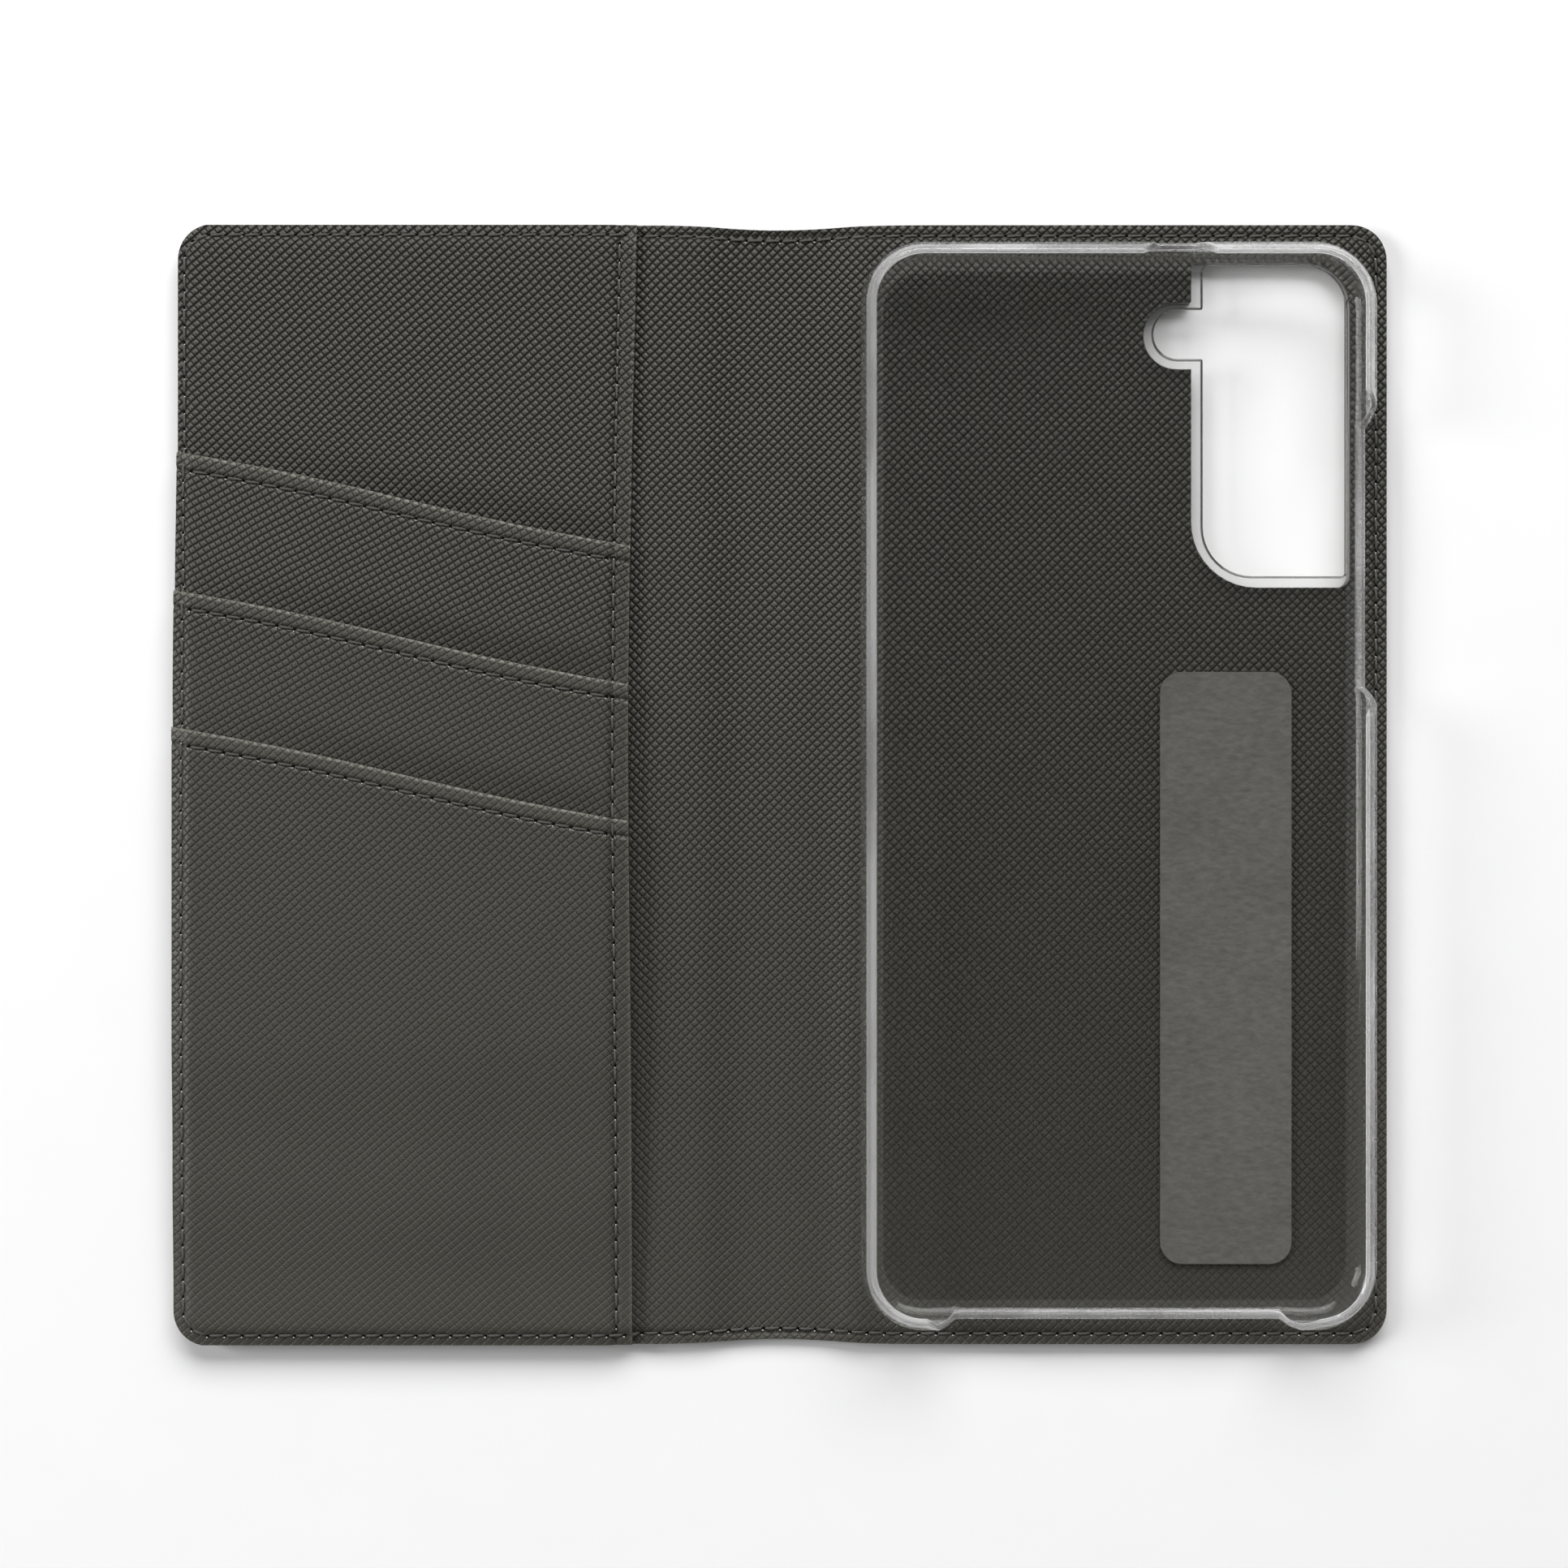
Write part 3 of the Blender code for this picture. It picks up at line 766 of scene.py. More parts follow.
@dataclass
class Leather:
    """The stack of leather sheets: how high each lies, and how they are made."""

    outline: Outline
    board_edge: float
    crease_x: float
    lining_top: float
    lining_thick: float
    spine_top: float
    skin_thick: float
    panel_tops: dict[str, float]
    panel_thick: float
    free_edge: float
    margin: float = 3.2 * MM
    edge_drop: float = 0.6 * MM
    seam_in: float = 1.7 * MM
    seam_depth: float = 0.26 * MM
    seam_width: float = 0.45 * MM
    side_seam_in: float = 2.4 * MM
    hem_seam_in: float = 2.45 * MM
    hem_swell: float = 0.20 * MM
    hem_fold: float = 0.24 * MM
    hem_fall: float = 14.3 * MM
    hem_bow: float = 0.35 * MM
    mouth_depth: float = 0.80 * MM
    mouth_reach: float = 6.0 * MM
    wave_cell: float = 21.0 * MM
    cover_wave: float = 0.05 * MM
    spine_wave: float = 0.07 * MM
    wave_margin: float = 6.0 * MM
    fold_x: float = -1.6 * MM
    fold_depth: float = 0.05 * MM
    beside_depth: float = 0.30 * MM
    beside_width: float = 1.6 * MM
    skin_lift: float = 0.80 * MM
    skin_reach: float = 2.6 * MM
    line_bow: float = 0.35 * MM
    line_lift: float = 0.55 * MM
    panel_wave: float = 0.07 * MM
    panel_cell: float = 24.0 * MM
    panel_margin: float = 8.0 * MM
    free_drop_reach: float = 4.2 * MM
    margin_drop: float = 0.75 * MM
    free_drop: float = 0.20 * MM
    layer_drop: float = 0.25 * MM
    side_seam_share: float = 1.3

    @property
    def levels(self) -> list[str]:
        """The pockets' names, the lowest first."""
        return list(self.panel_tops)

    def on_cover(self, x: np.ndarray) -> np.ndarray:
        """1 over the boards, 0 in the spine."""
        low = self.crease_x - 4.0 * MM
        return ease((np.abs(x) - low) / (self.board_edge + 0.5 * MM - low))

    def margin_share(self, x: np.ndarray, y: np.ndarray) -> np.ndarray:
        """1 at the outer edge, 0 where the board lies under the sheet."""
        return 1.0 - ease(self.outline.inward(x, y) / self.margin)

    def edge_groove(self, x: np.ndarray, y: np.ndarray) -> np.ndarray:
        """The groove that the seam round the case pulls."""
        return self.seam_depth * hollow(self.outline.inward(x, y) - self.seam_in, self.seam_width)

    def lining_height(self, x: np.ndarray, y: np.ndarray) -> np.ndarray:
        """The lining's top face."""
        cover = self.on_cover(x)
        swing = self.cover_wave + self.spine_wave * (1 - cover)
        wave = undulation(x, y, self.wave_cell, 3.7) * swing
        inner = ease(self.outline.inward(x, y) / self.wave_margin)
        fold = self.fold_depth * hollow(x - self.fold_x, 0.5 * MM)
        height = self.spine_top + (self.lining_top - self.spine_top) * cover
        height = height - self.edge_drop * self.margin_share(x, y) * cover
        beside = self.beside_depth * hollow(x - self.free_line(y) - 0.5 * MM, self.beside_width)
        return height + wave * inner - fold - beside - self.edge_groove(x, y)

    def skin_base(self, x: np.ndarray, y: np.ndarray) -> np.ndarray:
        """The outer leather's face that lies on the table, which lifts at the edge."""
        return self.skin_lift * (1.0 - ease(self.outline.inward(x, y) / self.skin_reach))

    def free_line(self, y: np.ndarray) -> np.ndarray:
        """The pockets' free edge beside the spine, which bows in a little."""
        bow = self.line_bow * hollow(y - 8.0 * MM, 40.0 * MM)
        lift = self.line_lift * ease((y - 45.0 * MM) / (45.0 * MM))
        return self.free_edge + 0.25 * MM - bow * 1.6 + lift

    def panels_under(self, level: str, y: np.ndarray) -> np.ndarray:
        """How many card panels lie under this one, from their lower ends."""
        order = self.levels.index(level)
        count = np.full_like(y, float(order))
        for other in self.levels[1:order]:
            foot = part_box(f"card_pocket_{other}")[0].y
            count -= ease((foot + 4.0 * MM - y) / (18.0 * MM))
        return count

    def panel_height(self, level: str, x: np.ndarray, y: np.ndarray) -> np.ndarray:
        """A pocket panel's top face, before its hem."""
        tops = list(self.panel_tops.values())
        under = self.panels_under(level, y)
        height = tops[0] + (tops[1] - tops[0]) * under
        height -= (self.margin_drop + self.layer_drop * under) * self.margin_share(x, y)
        aside = self.free_line(y) - x
        free_share = 1.0 - ease(aside / self.free_drop_reach)
        height -= (self.free_drop + self.layer_drop * under) * free_share
        groove = hollow(aside - self.side_seam_in, self.seam_width)
        height -= self.seam_depth * self.side_seam_share * groove
        height -= self.mouth_sink(level, x, y)
        wave = undulation(x, y, self.panel_cell, 11.0 + self.levels.index(level))
        inner = ease(aside / self.panel_margin) * ease(self.outline.inward(x, y) / self.panel_margin)
        height += self.panel_wave * wave * inner
        return height - self.edge_groove(x, y)

    def mouth_sink(self, level: str, x: np.ndarray, y: np.ndarray) -> np.ndarray:
        """How far a sheet sinks at the mouth of the pocket in front of it."""
        if level == self.levels[-1]:
            return np.zeros_like(x)
        front = self.levels[self.levels.index(level) + 1]
        low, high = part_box(f"card_pocket_{front}")
        share = np.clip((x - low.x) / (high.x - low.x), 0.0, 1.0)
        above = y - self.hem_line(front, x)
        near_side = ease((self.free_line(y) - x - 1.0 * MM) / (5.0 * MM))
        depth = self.mouth_depth * (0.25 + 0.75 * ease(share * 1.6)) * near_side
        return depth * (1.0 - ease((above + 1.0 * MM) / self.mouth_reach))

    def hem_line(self, level: str, x: np.ndarray) -> np.ndarray:
        """A card pocket's upper edge: it falls towards the spine in a slight S."""
        low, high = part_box(f"card_pocket_{level}")
        share = (x - low.x) / (high.x - low.x)
        return high.y - self.hem_fall * share + self.hem_bow * np.sin(2 * math.pi * share)

    def slab(self, name: str, x: np.ndarray, y: np.ndarray, top: Field, bottom: Field,
             edge_round: float, finish: bpy.types.Material,
             edge: bpy.types.Material) -> bpy.types.Object:
        """A sheet with a thickness and a rounded edge, on a grid of places.

        Args:
            name: The piece's name.
            x: The grid's x.
            y: The grid's y.
            top: The top face's height.
            bottom: The bottom face's height.
            edge_round: How far the edges are rounded.
            finish: The faces' material.
            edge: The edges' material.

        Returns:
            The sheet, with its grain map.
        """
        obj = Bench.grid(name, x, y)
        obj.data.materials.append(finish)
        obj.data.materials.append(edge)
        Bench.apply(obj, "SOLIDIFY", thickness=1.0 * MM, offset=0.0, material_offset_rim=1)
        places = Bench.points(obj)
        upper = places[:, 2] > 0
        places[upper, 2] = top(places[upper, 0], places[upper, 1])
        places[~upper, 2] = bottom(places[~upper, 0], places[~upper, 1])
        Bench.move(obj, places)
        Bench.apply(obj, "BEVEL", width=edge_round, segments=3, limit_method="ANGLE",
                    angle_limit=math.radians(50.0))
        self.grain_map(obj)
        return Bench.smooth(obj)

    @staticmethod
    def grain_map(obj: bpy.types.Object) -> None:
        """A UV map in metres, so that the grain keeps its size and bends with the sheet."""
        layer = obj.data.uv_layers.new(name=GRAIN_UV)
        corners = np.zeros(len(obj.data.loops), np.int32)
        obj.data.loops.foreach_get("vertex_index", corners)
        places = Bench.points(obj)[corners]
        layer.data.foreach_set("uv", (places[:, :2] + 0.5).astype(np.float32).ravel())

    @staticmethod
    def grain_depth_and_shade(x: np.ndarray, y: np.ndarray) -> np.ndarray:
        """How strong the grain's relief and its painted groove shade are: both grow towards the upper
        end, standing in for light that grazes the grain there, and a little on the back cover.
        """
        depth = np.interp(y, [place * MM for place in GRAIN_STATIONS], GRAIN_DEPTHS_AND_SHADE)
        return depth * (1.0 + 0.10 * ease((x - 8.0 * MM) / (12.0 * MM)))

    @classmethod
    def card_depth_and_shade(cls, x: np.ndarray, y: np.ndarray) -> np.ndarray:
        """The card pockets' shallower grain and lighter painted groove shade."""
        return cls.grain_depth_and_shade(x, y) * (0.62 + 0.26 * ease((y - 12.0 * MM) / (20.0 * MM)))

    @staticmethod
    def mark(obj: bpy.types.Object, depth: Field, press: Field, wear_and_highlight: Field) -> None:
        """Gives each vertex the numbers that the material reads.

        Args:
            obj: The sheet.
            depth: How deep the grain is, which also sets how dark its grooves are painted.
            press: How far it is flattened.
            wear_and_highlight: How far the sheet is worn, and how far a painted highlight lightens it.
        """
        places = Bench.points(obj)
        for name, values in ((DEPTH_AND_SHADE, depth), (PRESS, press), (WEAR_AND_HIGHLIGHT, wear_and_highlight)):
            layer = obj.data.attributes.new(name, "FLOAT", "POINT")
            layer.data.foreach_set("value", values(places[:, 0], places[:, 1]).astype(np.float32))


def stations(low: float, high: float, step: float, low_gaps: Sequence[float] = (),
             high_gaps: Sequence[float] = (), extra: Sequence[float] = ()) -> np.ndarray:
    """Places along a line: even steps, with closer ones at its ends and at given places.

    Args:
        low: The first place.
        high: The last place.
        step: The even step.
        low_gaps: Distances of extra places from the first one.
        high_gaps: Distances of extra places from the last one.
        extra: More places.

    Returns:
        The places in order.
    """
    start = low + max(low_gaps, default=0.0)
    end = high - max(high_gaps, default=0.0)
    count = max(2, int(round((end - start) / step)) + 1)
    places = np.concatenate([
        np.linspace(start, end, count), [low + gap for gap in low_gaps],
        [high - gap for gap in high_gaps], np.asarray(extra, float), [low, high]])
    places = np.unique(np.round(places, 7))
    apart = np.concatenate([[True], np.diff(places) > LEAST_GAP])
    return places[apart]


@dataclass
class Covers:
    """The outer leather and the lining, each one sheet over both covers and the spine."""

    leather: Leather
    finishes: Finishes
    window: tuple[tuple[float, float], tuple[float, float]] = (
        (62.7 * MM, 87.0 * MM), (30.1 * MM, 79.9 * MM))
    window_radii: tuple[float, ...] = (10.0 * MM, 2.0 * MM, 7.0 * MM, 1.0 * MM)
    notch: tuple[tuple[float, float], tuple[float, float]] = (
        (55.4 * MM, 66.0 * MM), (63.45 * MM, 73.75 * MM))
    notch_radius: float = 5.14 * MM
    blend_half: float = 3.0 * MM
    cut_reach: float = 5.0 * MM
    lining_round: float = 0.16 * MM
    skin_round: float = 0.20 * MM
    seam_press: float = 0.55
    edge_wear: float = 0.22
    wear_and_highlight_reach: float = 0.7 * MM

    def build(self) -> list[bpy.types.Object]:
        """Makes both sheets, cuts them at the middle of the spine and sets each half in place of its
        nodes.
        """
        leather = self.leather
        x, y = self.places(1.5 * MM, SHEET_STEP, 1)
        lining = leather.slab(
            "lining", x, y, leather.lining_height,
            lambda px, py: leather.lining_height(px, py) - leather.lining_thick,
            self.lining_round, self.finishes.spine_side, self.finishes.edge)
        x, y = self.places(3.0 * MM, 4.0 * MM, 2)
        skin = leather.slab(
            "outer_leather", x, y, lambda px, py: leather.skin_base(px, py) + leather.skin_thick,
            leather.skin_base, self.skin_round, self.finishes.outside, self.finishes.edge)
        made = []
        for sheet, front, back in (
            (lining, ("front_lining",), ("back_lining", "spine_lining")),
            (skin, ("front_outer_leather",), ("back_outer_leather", "spine_outer_leather")),
        ):
            self.open_window(sheet)
            Leather.mark(sheet, Leather.grain_depth_and_shade, self.pressed, self.worn)
            sides = (("back", back, 1.0, Body.BACK), ("front", front, -1.0, Body.FRONT))
            for side, nodes, sign, body in sides:
                half = Bench.keep_side(sheet, f"{sheet.name}_{side}_half", 0.0, sign)
                self.ride(half, nodes, sign, body)
                made.append(half)
            bpy.data.objects.remove(sheet, do_unlink=True)
        return made

    def places(self, across: float, along: float, every: int) -> tuple[np.ndarray, np.ndarray]:
        """A sheet's grid of places, closer at its edges and creases.

        Args:
            across: The even step in x.
            along: The even step in y.
            every: 2 leaves out every other one of the closer places.

        Returns:
            The grid's x and y, fitted to the outline.
        """
        outline = self.leather.outline
        gaps = EDGE_GAPS[::every]
        columns = stations(-outline.half_width, outline.half_width, across, gaps, gaps,
                           SPINE_PLACES[::every])
        rows = stations(-outline.half_length, outline.half_length, along, gaps, gaps)
        return outline.fit(*np.meshgrid(columns, rows))

    def open_window(self, sheet: bpy.types.Object) -> None:
        """Cuts the camera window and the flash notch beside it."""
        through = (-self.cut_reach, self.cut_reach)
        radius = self.notch_radius
        window = Bench.plate("window_cutter", *self.window, through, self.window_radii)
        notch = Bench.plate("notch_cutter", *self.notch, through, (radius, 0.0, 0.0, radius))
        for cutter in (window, notch):
            cutter.data.materials.append(self.finishes.edge)
            Bench.cut(sheet, cutter)

    def pressed(self, x: np.ndarray, y: np.ndarray) -> np.ndarray:
        """How far the grain is flattened, along the seam."""
        away = self.leather.outline.inward(x, y) - self.leather.seam_in
        return self.seam_press * hollow(away, 0.5 * MM)

    def worn(self, x: np.ndarray, y: np.ndarray) -> np.ndarray:
        """How far the edges are worn."""
        return self.edge_wear * (1.0 - ease(self.leather.outline.inward(x, y) / self.wear_and_highlight_reach))

    def ride(self, half: bpy.types.Object, nodes: Sequence[str], sign: float, body: Body) -> None:
        """Bakes a half sheet's place into its mesh and hides the nodes it stands for."""
        outline = self.leather.outline
        crease = sign * self.leather.crease_x
        start = (crease + sign * self.blend_half, 0.0, 0.0)
        end = (crease - sign * self.blend_half, 0.0, 0.0)
        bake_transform(half)
        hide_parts(*nodes)
        "lining_leather" if "lining" in half.name else "outer_leather"
        area = outline.half_width * 2 * outline.half_length
        if body is Body.BACK:
            (x0, x1), (y0, y1) = self.window
            area -= (x1 - x0) * (y1 - y0)
        2 * outline.half_length


@dataclass
class Pockets:
    """The cash pocket and the three slanted card pockets on the front cover."""

    leather: Leather
    finishes: Finishes
    inset: float = 0.2 * MM
    smooth_strip: float = 2.2 * MM
    groove_depth: float = 0.42 * MM
    groove_width: float = 0.36 * MM
    nose_drop: float = 0.16 * MM
    nose_reach: float = 0.55 * MM
    follow_reach: float = 16.0 * MM
    cash_round: float = 0.24 * MM
    card_round: float = 0.28 * MM
    strip_share: float = 0.45
    band_share: float = 0.50
    free_wear: float = 0.32
    fold_highlight: float = 0.95
    band_lightening: float = 0.10
    wear_and_highlight_reach: float = 0.6 * MM
    band_fade: float = 1.6 * MM

    def build(self) -> list[bpy.types.Object]:
        """Makes the panels, lowest first."""
        return [self.cash()] + [self.card(level) for level in self.leather.levels[1:]]

    def aside(self, x: np.ndarray, y: np.ndarray) -> np.ndarray:
        """How far points lie from the free edge."""
        return self.leather.free_line(y) - x

    def strip_press(self, x: np.ndarray, y: np.ndarray) -> np.ndarray:
        """How far the grain is flattened between the side seam and the free edge."""
        past = (self.aside(x, y) - self.smooth_strip) / (1.0 * MM)
        return self.strip_share * (1.0 - ease(past + 0.5))

    def edge_wear(self, x: np.ndarray, y: np.ndarray) -> np.ndarray:
        """How far the free edge is worn."""
        return self.free_wear * (1.0 - ease(self.aside(x, y) / self.wear_and_highlight_reach))

    def to_free_edge(self, x: np.ndarray, y: np.ndarray) -> np.ndarray:
        """Moves a plain panel's points so that its right side follows the free edge."""
        nominal = self.leather.free_edge
        share = ease((x - nominal + self.follow_reach) / self.follow_reach)
        return x + (self.leather.free_line(y) - nominal) * share

    def cash(self) -> bpy.types.Object:
        """The cash pocket's panel, over the whole length of the cover."""
        outline = self.leather.outline
        low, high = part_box("cash_pocket_panel")
        reach = outline.half_length - self.inset / 2
        left = self.inset / 2 - outline.half_width
        columns = stations(left, high.x, SHEET_STEP, EDGE_GAPS, HEM_GAPS)
        rows = stations(-reach, reach, SHEET_STEP, EDGE_GAPS, EDGE_GAPS)
        x, y = outline.fit(*np.meshgrid(columns, rows))
        x = self.to_free_edge(x, y)
        panel = self.leather.slab(
            "cash_pocket", x, y, lambda px, py: self.leather.panel_height("cash", px, py),
            lambda px, py: self.leather.panel_height("cash", px, py) - self.leather.panel_thick,
            self.cash_round, self.finishes.panels["cash"], self.finishes.edge)
        Leather.mark(panel, Leather.grain_depth_and_shade, self.strip_press, self.edge_wear)
        flat = (high.x - low.x, high.y - low.y)
        return self.dress(panel, "cash_pocket_panel", flat, "front_lining")

    def card(self, level: str) -> bpy.types.Object:
        """A card pocket's panel, from its slanted hem to its lower end.

        Args:
            level: Which pocket.

        Returns:
            The panel.
        """
        leather = self.leather
        low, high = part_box(f"card_pocket_{level}")
        left = self.inset / 2 - leather.outline.half_width
        columns = stations(left, high.x, SHEET_STEP, EDGE_GAPS, HEM_GAPS)
        to_edge = low.y < 1.0 * MM - leather.outline.half_length
        foot = self.inset / 2 - leather.outline.half_length if to_edge else low.y
        length = high.y - leather.hem_fall / 2 - foot
        downs = stations(0.0, length, SHEET_STEP, HEM_GAPS, EDGE_GAPS if to_edge else ())
        x, down = np.meshgrid(columns, downs)
        hem = leather.hem_line(level, x)
        slack = (hem - foot - length) * ease((down - 8.0 * MM) / (length - 16.0 * MM))
        y = hem - down - slack
        x, y = x[::-1], y[::-1]
        x, y = leather.outline.fit(x, y) if to_edge else (leather.outline.tapered(x, y), y)
        x = self.to_free_edge(x, y)

        def below(px: np.ndarray, py: np.ndarray) -> np.ndarray:
            """How far points lie below the hem."""
            return leather.hem_line(level, px) - py

        def band(px: np.ndarray, py: np.ndarray) -> np.ndarray:
            """1 on the folded hem, 0 past its seam."""
            return 1.0 - ease((below(px, py) - leather.hem_seam_in + 0.3 * MM) / self.band_fade)

        def top(px: np.ndarray, py: np.ndarray) -> np.ndarray:
            """The top face, with the hem's swell and its sewn groove."""
            down = below(px, py)
            groove = self.groove_depth * hollow(down - leather.hem_seam_in, self.groove_width)
            nose = self.nose_drop * (1.0 - ease(down / self.nose_reach))
            swell = leather.hem_swell * band(px, py)
            return leather.panel_height(level, px, py) + swell - groove - nose

        def bottom(px: np.ndarray, py: np.ndarray) -> np.ndarray:
            """The bottom face, which the hem's folded layer lowers."""
            thick = leather.panel_thick + leather.hem_fold * band(px, py)
            return leather.panel_height(level, px, py) - thick

        finish = self.finishes.panels[level]
        panel = leather.slab(f"card_pocket_{level}_panel", x, y, top, bottom, self.card_round, finish,
                             finish)

        def press(px: np.ndarray, py: np.ndarray) -> np.ndarray:
            """The flattened grain of the hem and of the strip beside the free edge."""
            return np.maximum(self.band_share * band(px, py), self.strip_press(px, py))

        def wear_and_highlight(px: np.ndarray, py: np.ndarray) -> np.ndarray:
            """The fold's painted highlight, the hem band painted a little lighter, and the worn free
            edge.
            """
            fold = 1.0 - ease(below(px, py) / self.wear_and_highlight_reach)
            # The fold is painted much lighter as a highlight; the hem band is made a little lighter.
            hem_lightening = self.fold_highlight * fold + self.band_lightening * band(px, py) * (1 - fold)
            return np.maximum(hem_lightening, self.edge_wear(px, py))

        Leather.mark(panel, Leather.card_depth_and_shade, press, wear_and_highlight)
        before = leather.levels[leather.levels.index(level) - 1]
        under = "cash_pocket" if before == "cash" else f"card_pocket_{before}_panel"
        return self.dress(panel, f"card_pocket_{level}", (high.x - low.x, length), under)

    def dress(self, panel: bpy.types.Object, node: str, flat: tuple[float, float],
              under: str) -> bpy.types.Object:
        """Rides a panel on the front cover in place of its node."""
        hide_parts(node)
        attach(panel, Body.FRONT.value)
        return panel


# ---------------------------------------------------------------------------------------------
# Sewing
# ---------------------------------------------------------------------------------------------


@dataclass
class Sewing:
    """Lockstitch seams: short lengths of thread that dip into needle holes."""

    leather: Leather
    finishes: Finishes
    pitch: float = 2.65 * MM
    radius: float = 0.20 * MM
    hole_shade_radius: float = 0.29 * MM
    rise: float = 0.17 * MM
    loop_glint_radius: float = 0.13 * MM
    loop_glint_below: float = 0.33 * MM
    loop_glint_aside: float = 0.10 * MM
    blend_half: float = 3.0 * MM
    stitch_cuts: tuple[float, ...] = (-0.42, -0.33, -0.16, 0.16, 0.33, 0.42)
    stitch_share: float = 0.9
    lay: float = 0.05
    turn_past: float = 3.2 * MM
    seam_clear: float = 1.3 * MM
    stitch: bpy.types.Object = field(init=False)
    hole_shade: bpy.types.Object = field(init=False)
    knot: bpy.types.Object = field(init=False)

    def __post_init__(self) -> None:
        """Models one stitch, one near-black disc of painted shade for the needle holes, and one thread
        loop coloured pale as a painted glint.
        """
        finishes = self.finishes
        self.stitch = self.one_stitch()
        self.hole_shade = self.bead("hole_shade", self.hole_shade_radius, 8, (1.15, 0.85, 0.25), finishes.pinhole_shade)
        self.knot = self.bead("knot", self.loop_glint_radius, 6, (1.3, 1.0, 0.9), finishes.knot)

    def one_stitch(self) -> bpy.types.Object:
        """A length of thread along X whose ends turn down."""
        bpy.ops.object.select_all(action="DESELECT")
        length = self.pitch * self.stitch_share
        bpy.ops.mesh.primitive_cylinder_add(vertices=7, radius=self.radius, depth=length,
                                            end_fill_type="TRIFAN", rotation=(0.0, math.pi / 2, 0.0))
        obj = Bench.named("stitch")
        bpy.ops.object.transform_apply(rotation=True)
        for share in self.stitch_cuts:
            with Bench.editing(obj):
                bpy.ops.mesh.bisect(plane_co=(share * self.pitch, 0, 0), plane_no=(1, 0, 0))
        places = Bench.points(obj)
        along = np.abs(places[:, 0]) / (length / 2)
        thin = 1.0 - 0.45 * ease((along - 0.75) / 0.25)
        places[:, 1] *= thin
        places[:, 2] = places[:, 2] * thin + 0.05 * MM - 0.34 * MM * ease((along - 0.35) / 0.65)
        Bench.move(obj, places)
        obj.data.materials.append(self.finishes.thread)
        bpy.ops.object.shade_smooth()
        return obj

    @staticmethod
    def bead(name: str, radius: float, segments: int, stretch: Sequence[float],
             finish: bpy.types.Material) -> bpy.types.Object:
        """A small flattened ball: a near-black disc of painted shade where the needle holes are, or
        the loop where the threads lock, coloured pale as a painted glint.

        Args:
            name: The object's name.
            radius: The ball's radius.
            segments: How many segments it has round it.
            stretch: Its three scales.
            finish: Its material.

        Returns:
            The ball.
        """
        bpy.ops.object.select_all(action="DESELECT")
        bpy.ops.mesh.primitive_uv_sphere_add(segments=segments, ring_count=4, radius=radius)
        obj = Bench.named(name)
        obj.scale = stretch
        bpy.ops.object.transform_apply(scale=True)
        obj.data.materials.append(finish)
        bpy.ops.object.shade_smooth()
        return obj

    @staticmethod
    def place(model: bpy.types.Object, at: Sequence[float], turn: float,
              tilt: float = 0.0) -> bpy.types.Object:
        """A copy of a model, turned along the seam and put in place."""
        copy = model.copy()
        copy.data = model.data.copy()
        bpy.context.scene.collection.objects.link(copy)
        turned = Euler((0.0, tilt, turn)).to_matrix().to_4x4()
        turned.translation = Vector(at)
        copy.data.transform(turned)
        return copy

    def seam(self, route: np.ndarray, height: Field,
             closed: bool = False) -> list[tuple[float, bpy.types.Object]]:
        """Lays stitches along a route, with a near-black disc of painted shade at each of their holes
        and a pale bead of painted glint beside each.

        Args:
            route: The seam's points, close together.
            height: The surface's height under the seam.
            closed: Whether the route comes back to its start.

        Returns:
            Each piece with the x of its middle.
        """
        steps = np.hypot(*np.diff(route, axis=0).T)
        run = np.concatenate([[0.0], np.cumsum(steps)])
        count = max(1, int(round(run[-1] / self.pitch)))
        marks = np.linspace(0.0, run[-1], count + 1)
        x = np.interp(marks, run, route[:, 0])
        y = np.interp(marks, run, route[:, 1])
        z = height(x, y)
        made = []
        for i in range(count):
            dx, dy, dz = x[i + 1] - x[i], y[i + 1] - y[i], z[i + 1] - z[i]
            high = (z[i] + z[i + 1]) / 2 + self.rise
            middle = ((x[i] + x[i + 1]) / 2, (y[i] + y[i + 1]) / 2, high)
            turn = math.atan2(dy, dx)
            slope = -math.atan2(dz, math.hypot(dx, dy))
            made.append((middle[0], self.place(self.stitch, middle, turn + self.lay, slope)))
        for i in range(count if closed else count + 1):
            j = min(i, count - 1)
            turn = math.atan2(y[j + 1] - y[j], x[j + 1] - x[j])
            # A near-black disc of painted shade marks where each stitch pierces the leather.
            made.append((x[i], self.place(self.hole_shade, (x[i], y[i], z[i] + 0.02 * MM), turn)))
            # A pale bead beside it: the thread's loop, coloured as a painted glint.
            aside = self.loop_glint_aside * abs(math.cos(turn))
            loop = (x[i] - aside, y[i] - self.loop_glint_below, z[i] + 0.05 * MM)
            made.append((x[i], self.place(self.knot, loop, turn)))
        return made

    def surface(self, x: np.ndarray, y: np.ndarray) -> np.ndarray:
        """The height of the top-most sheet."""
        leather = self.leather
        height = leather.lining_height(x, y)
        on_pocket = x < leather.free_line(y)
        height = np.where(on_pocket, leather.panel_height("cash", x, y), height)
        for level in leather.levels[1:]:
            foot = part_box(f"card_pocket_{level}")[0].y
            inside = on_pocket & (y < leather.hem_line(level, x)) & (y > foot)
            height = np.where(inside, leather.panel_height(level, x, y), height)
        return height

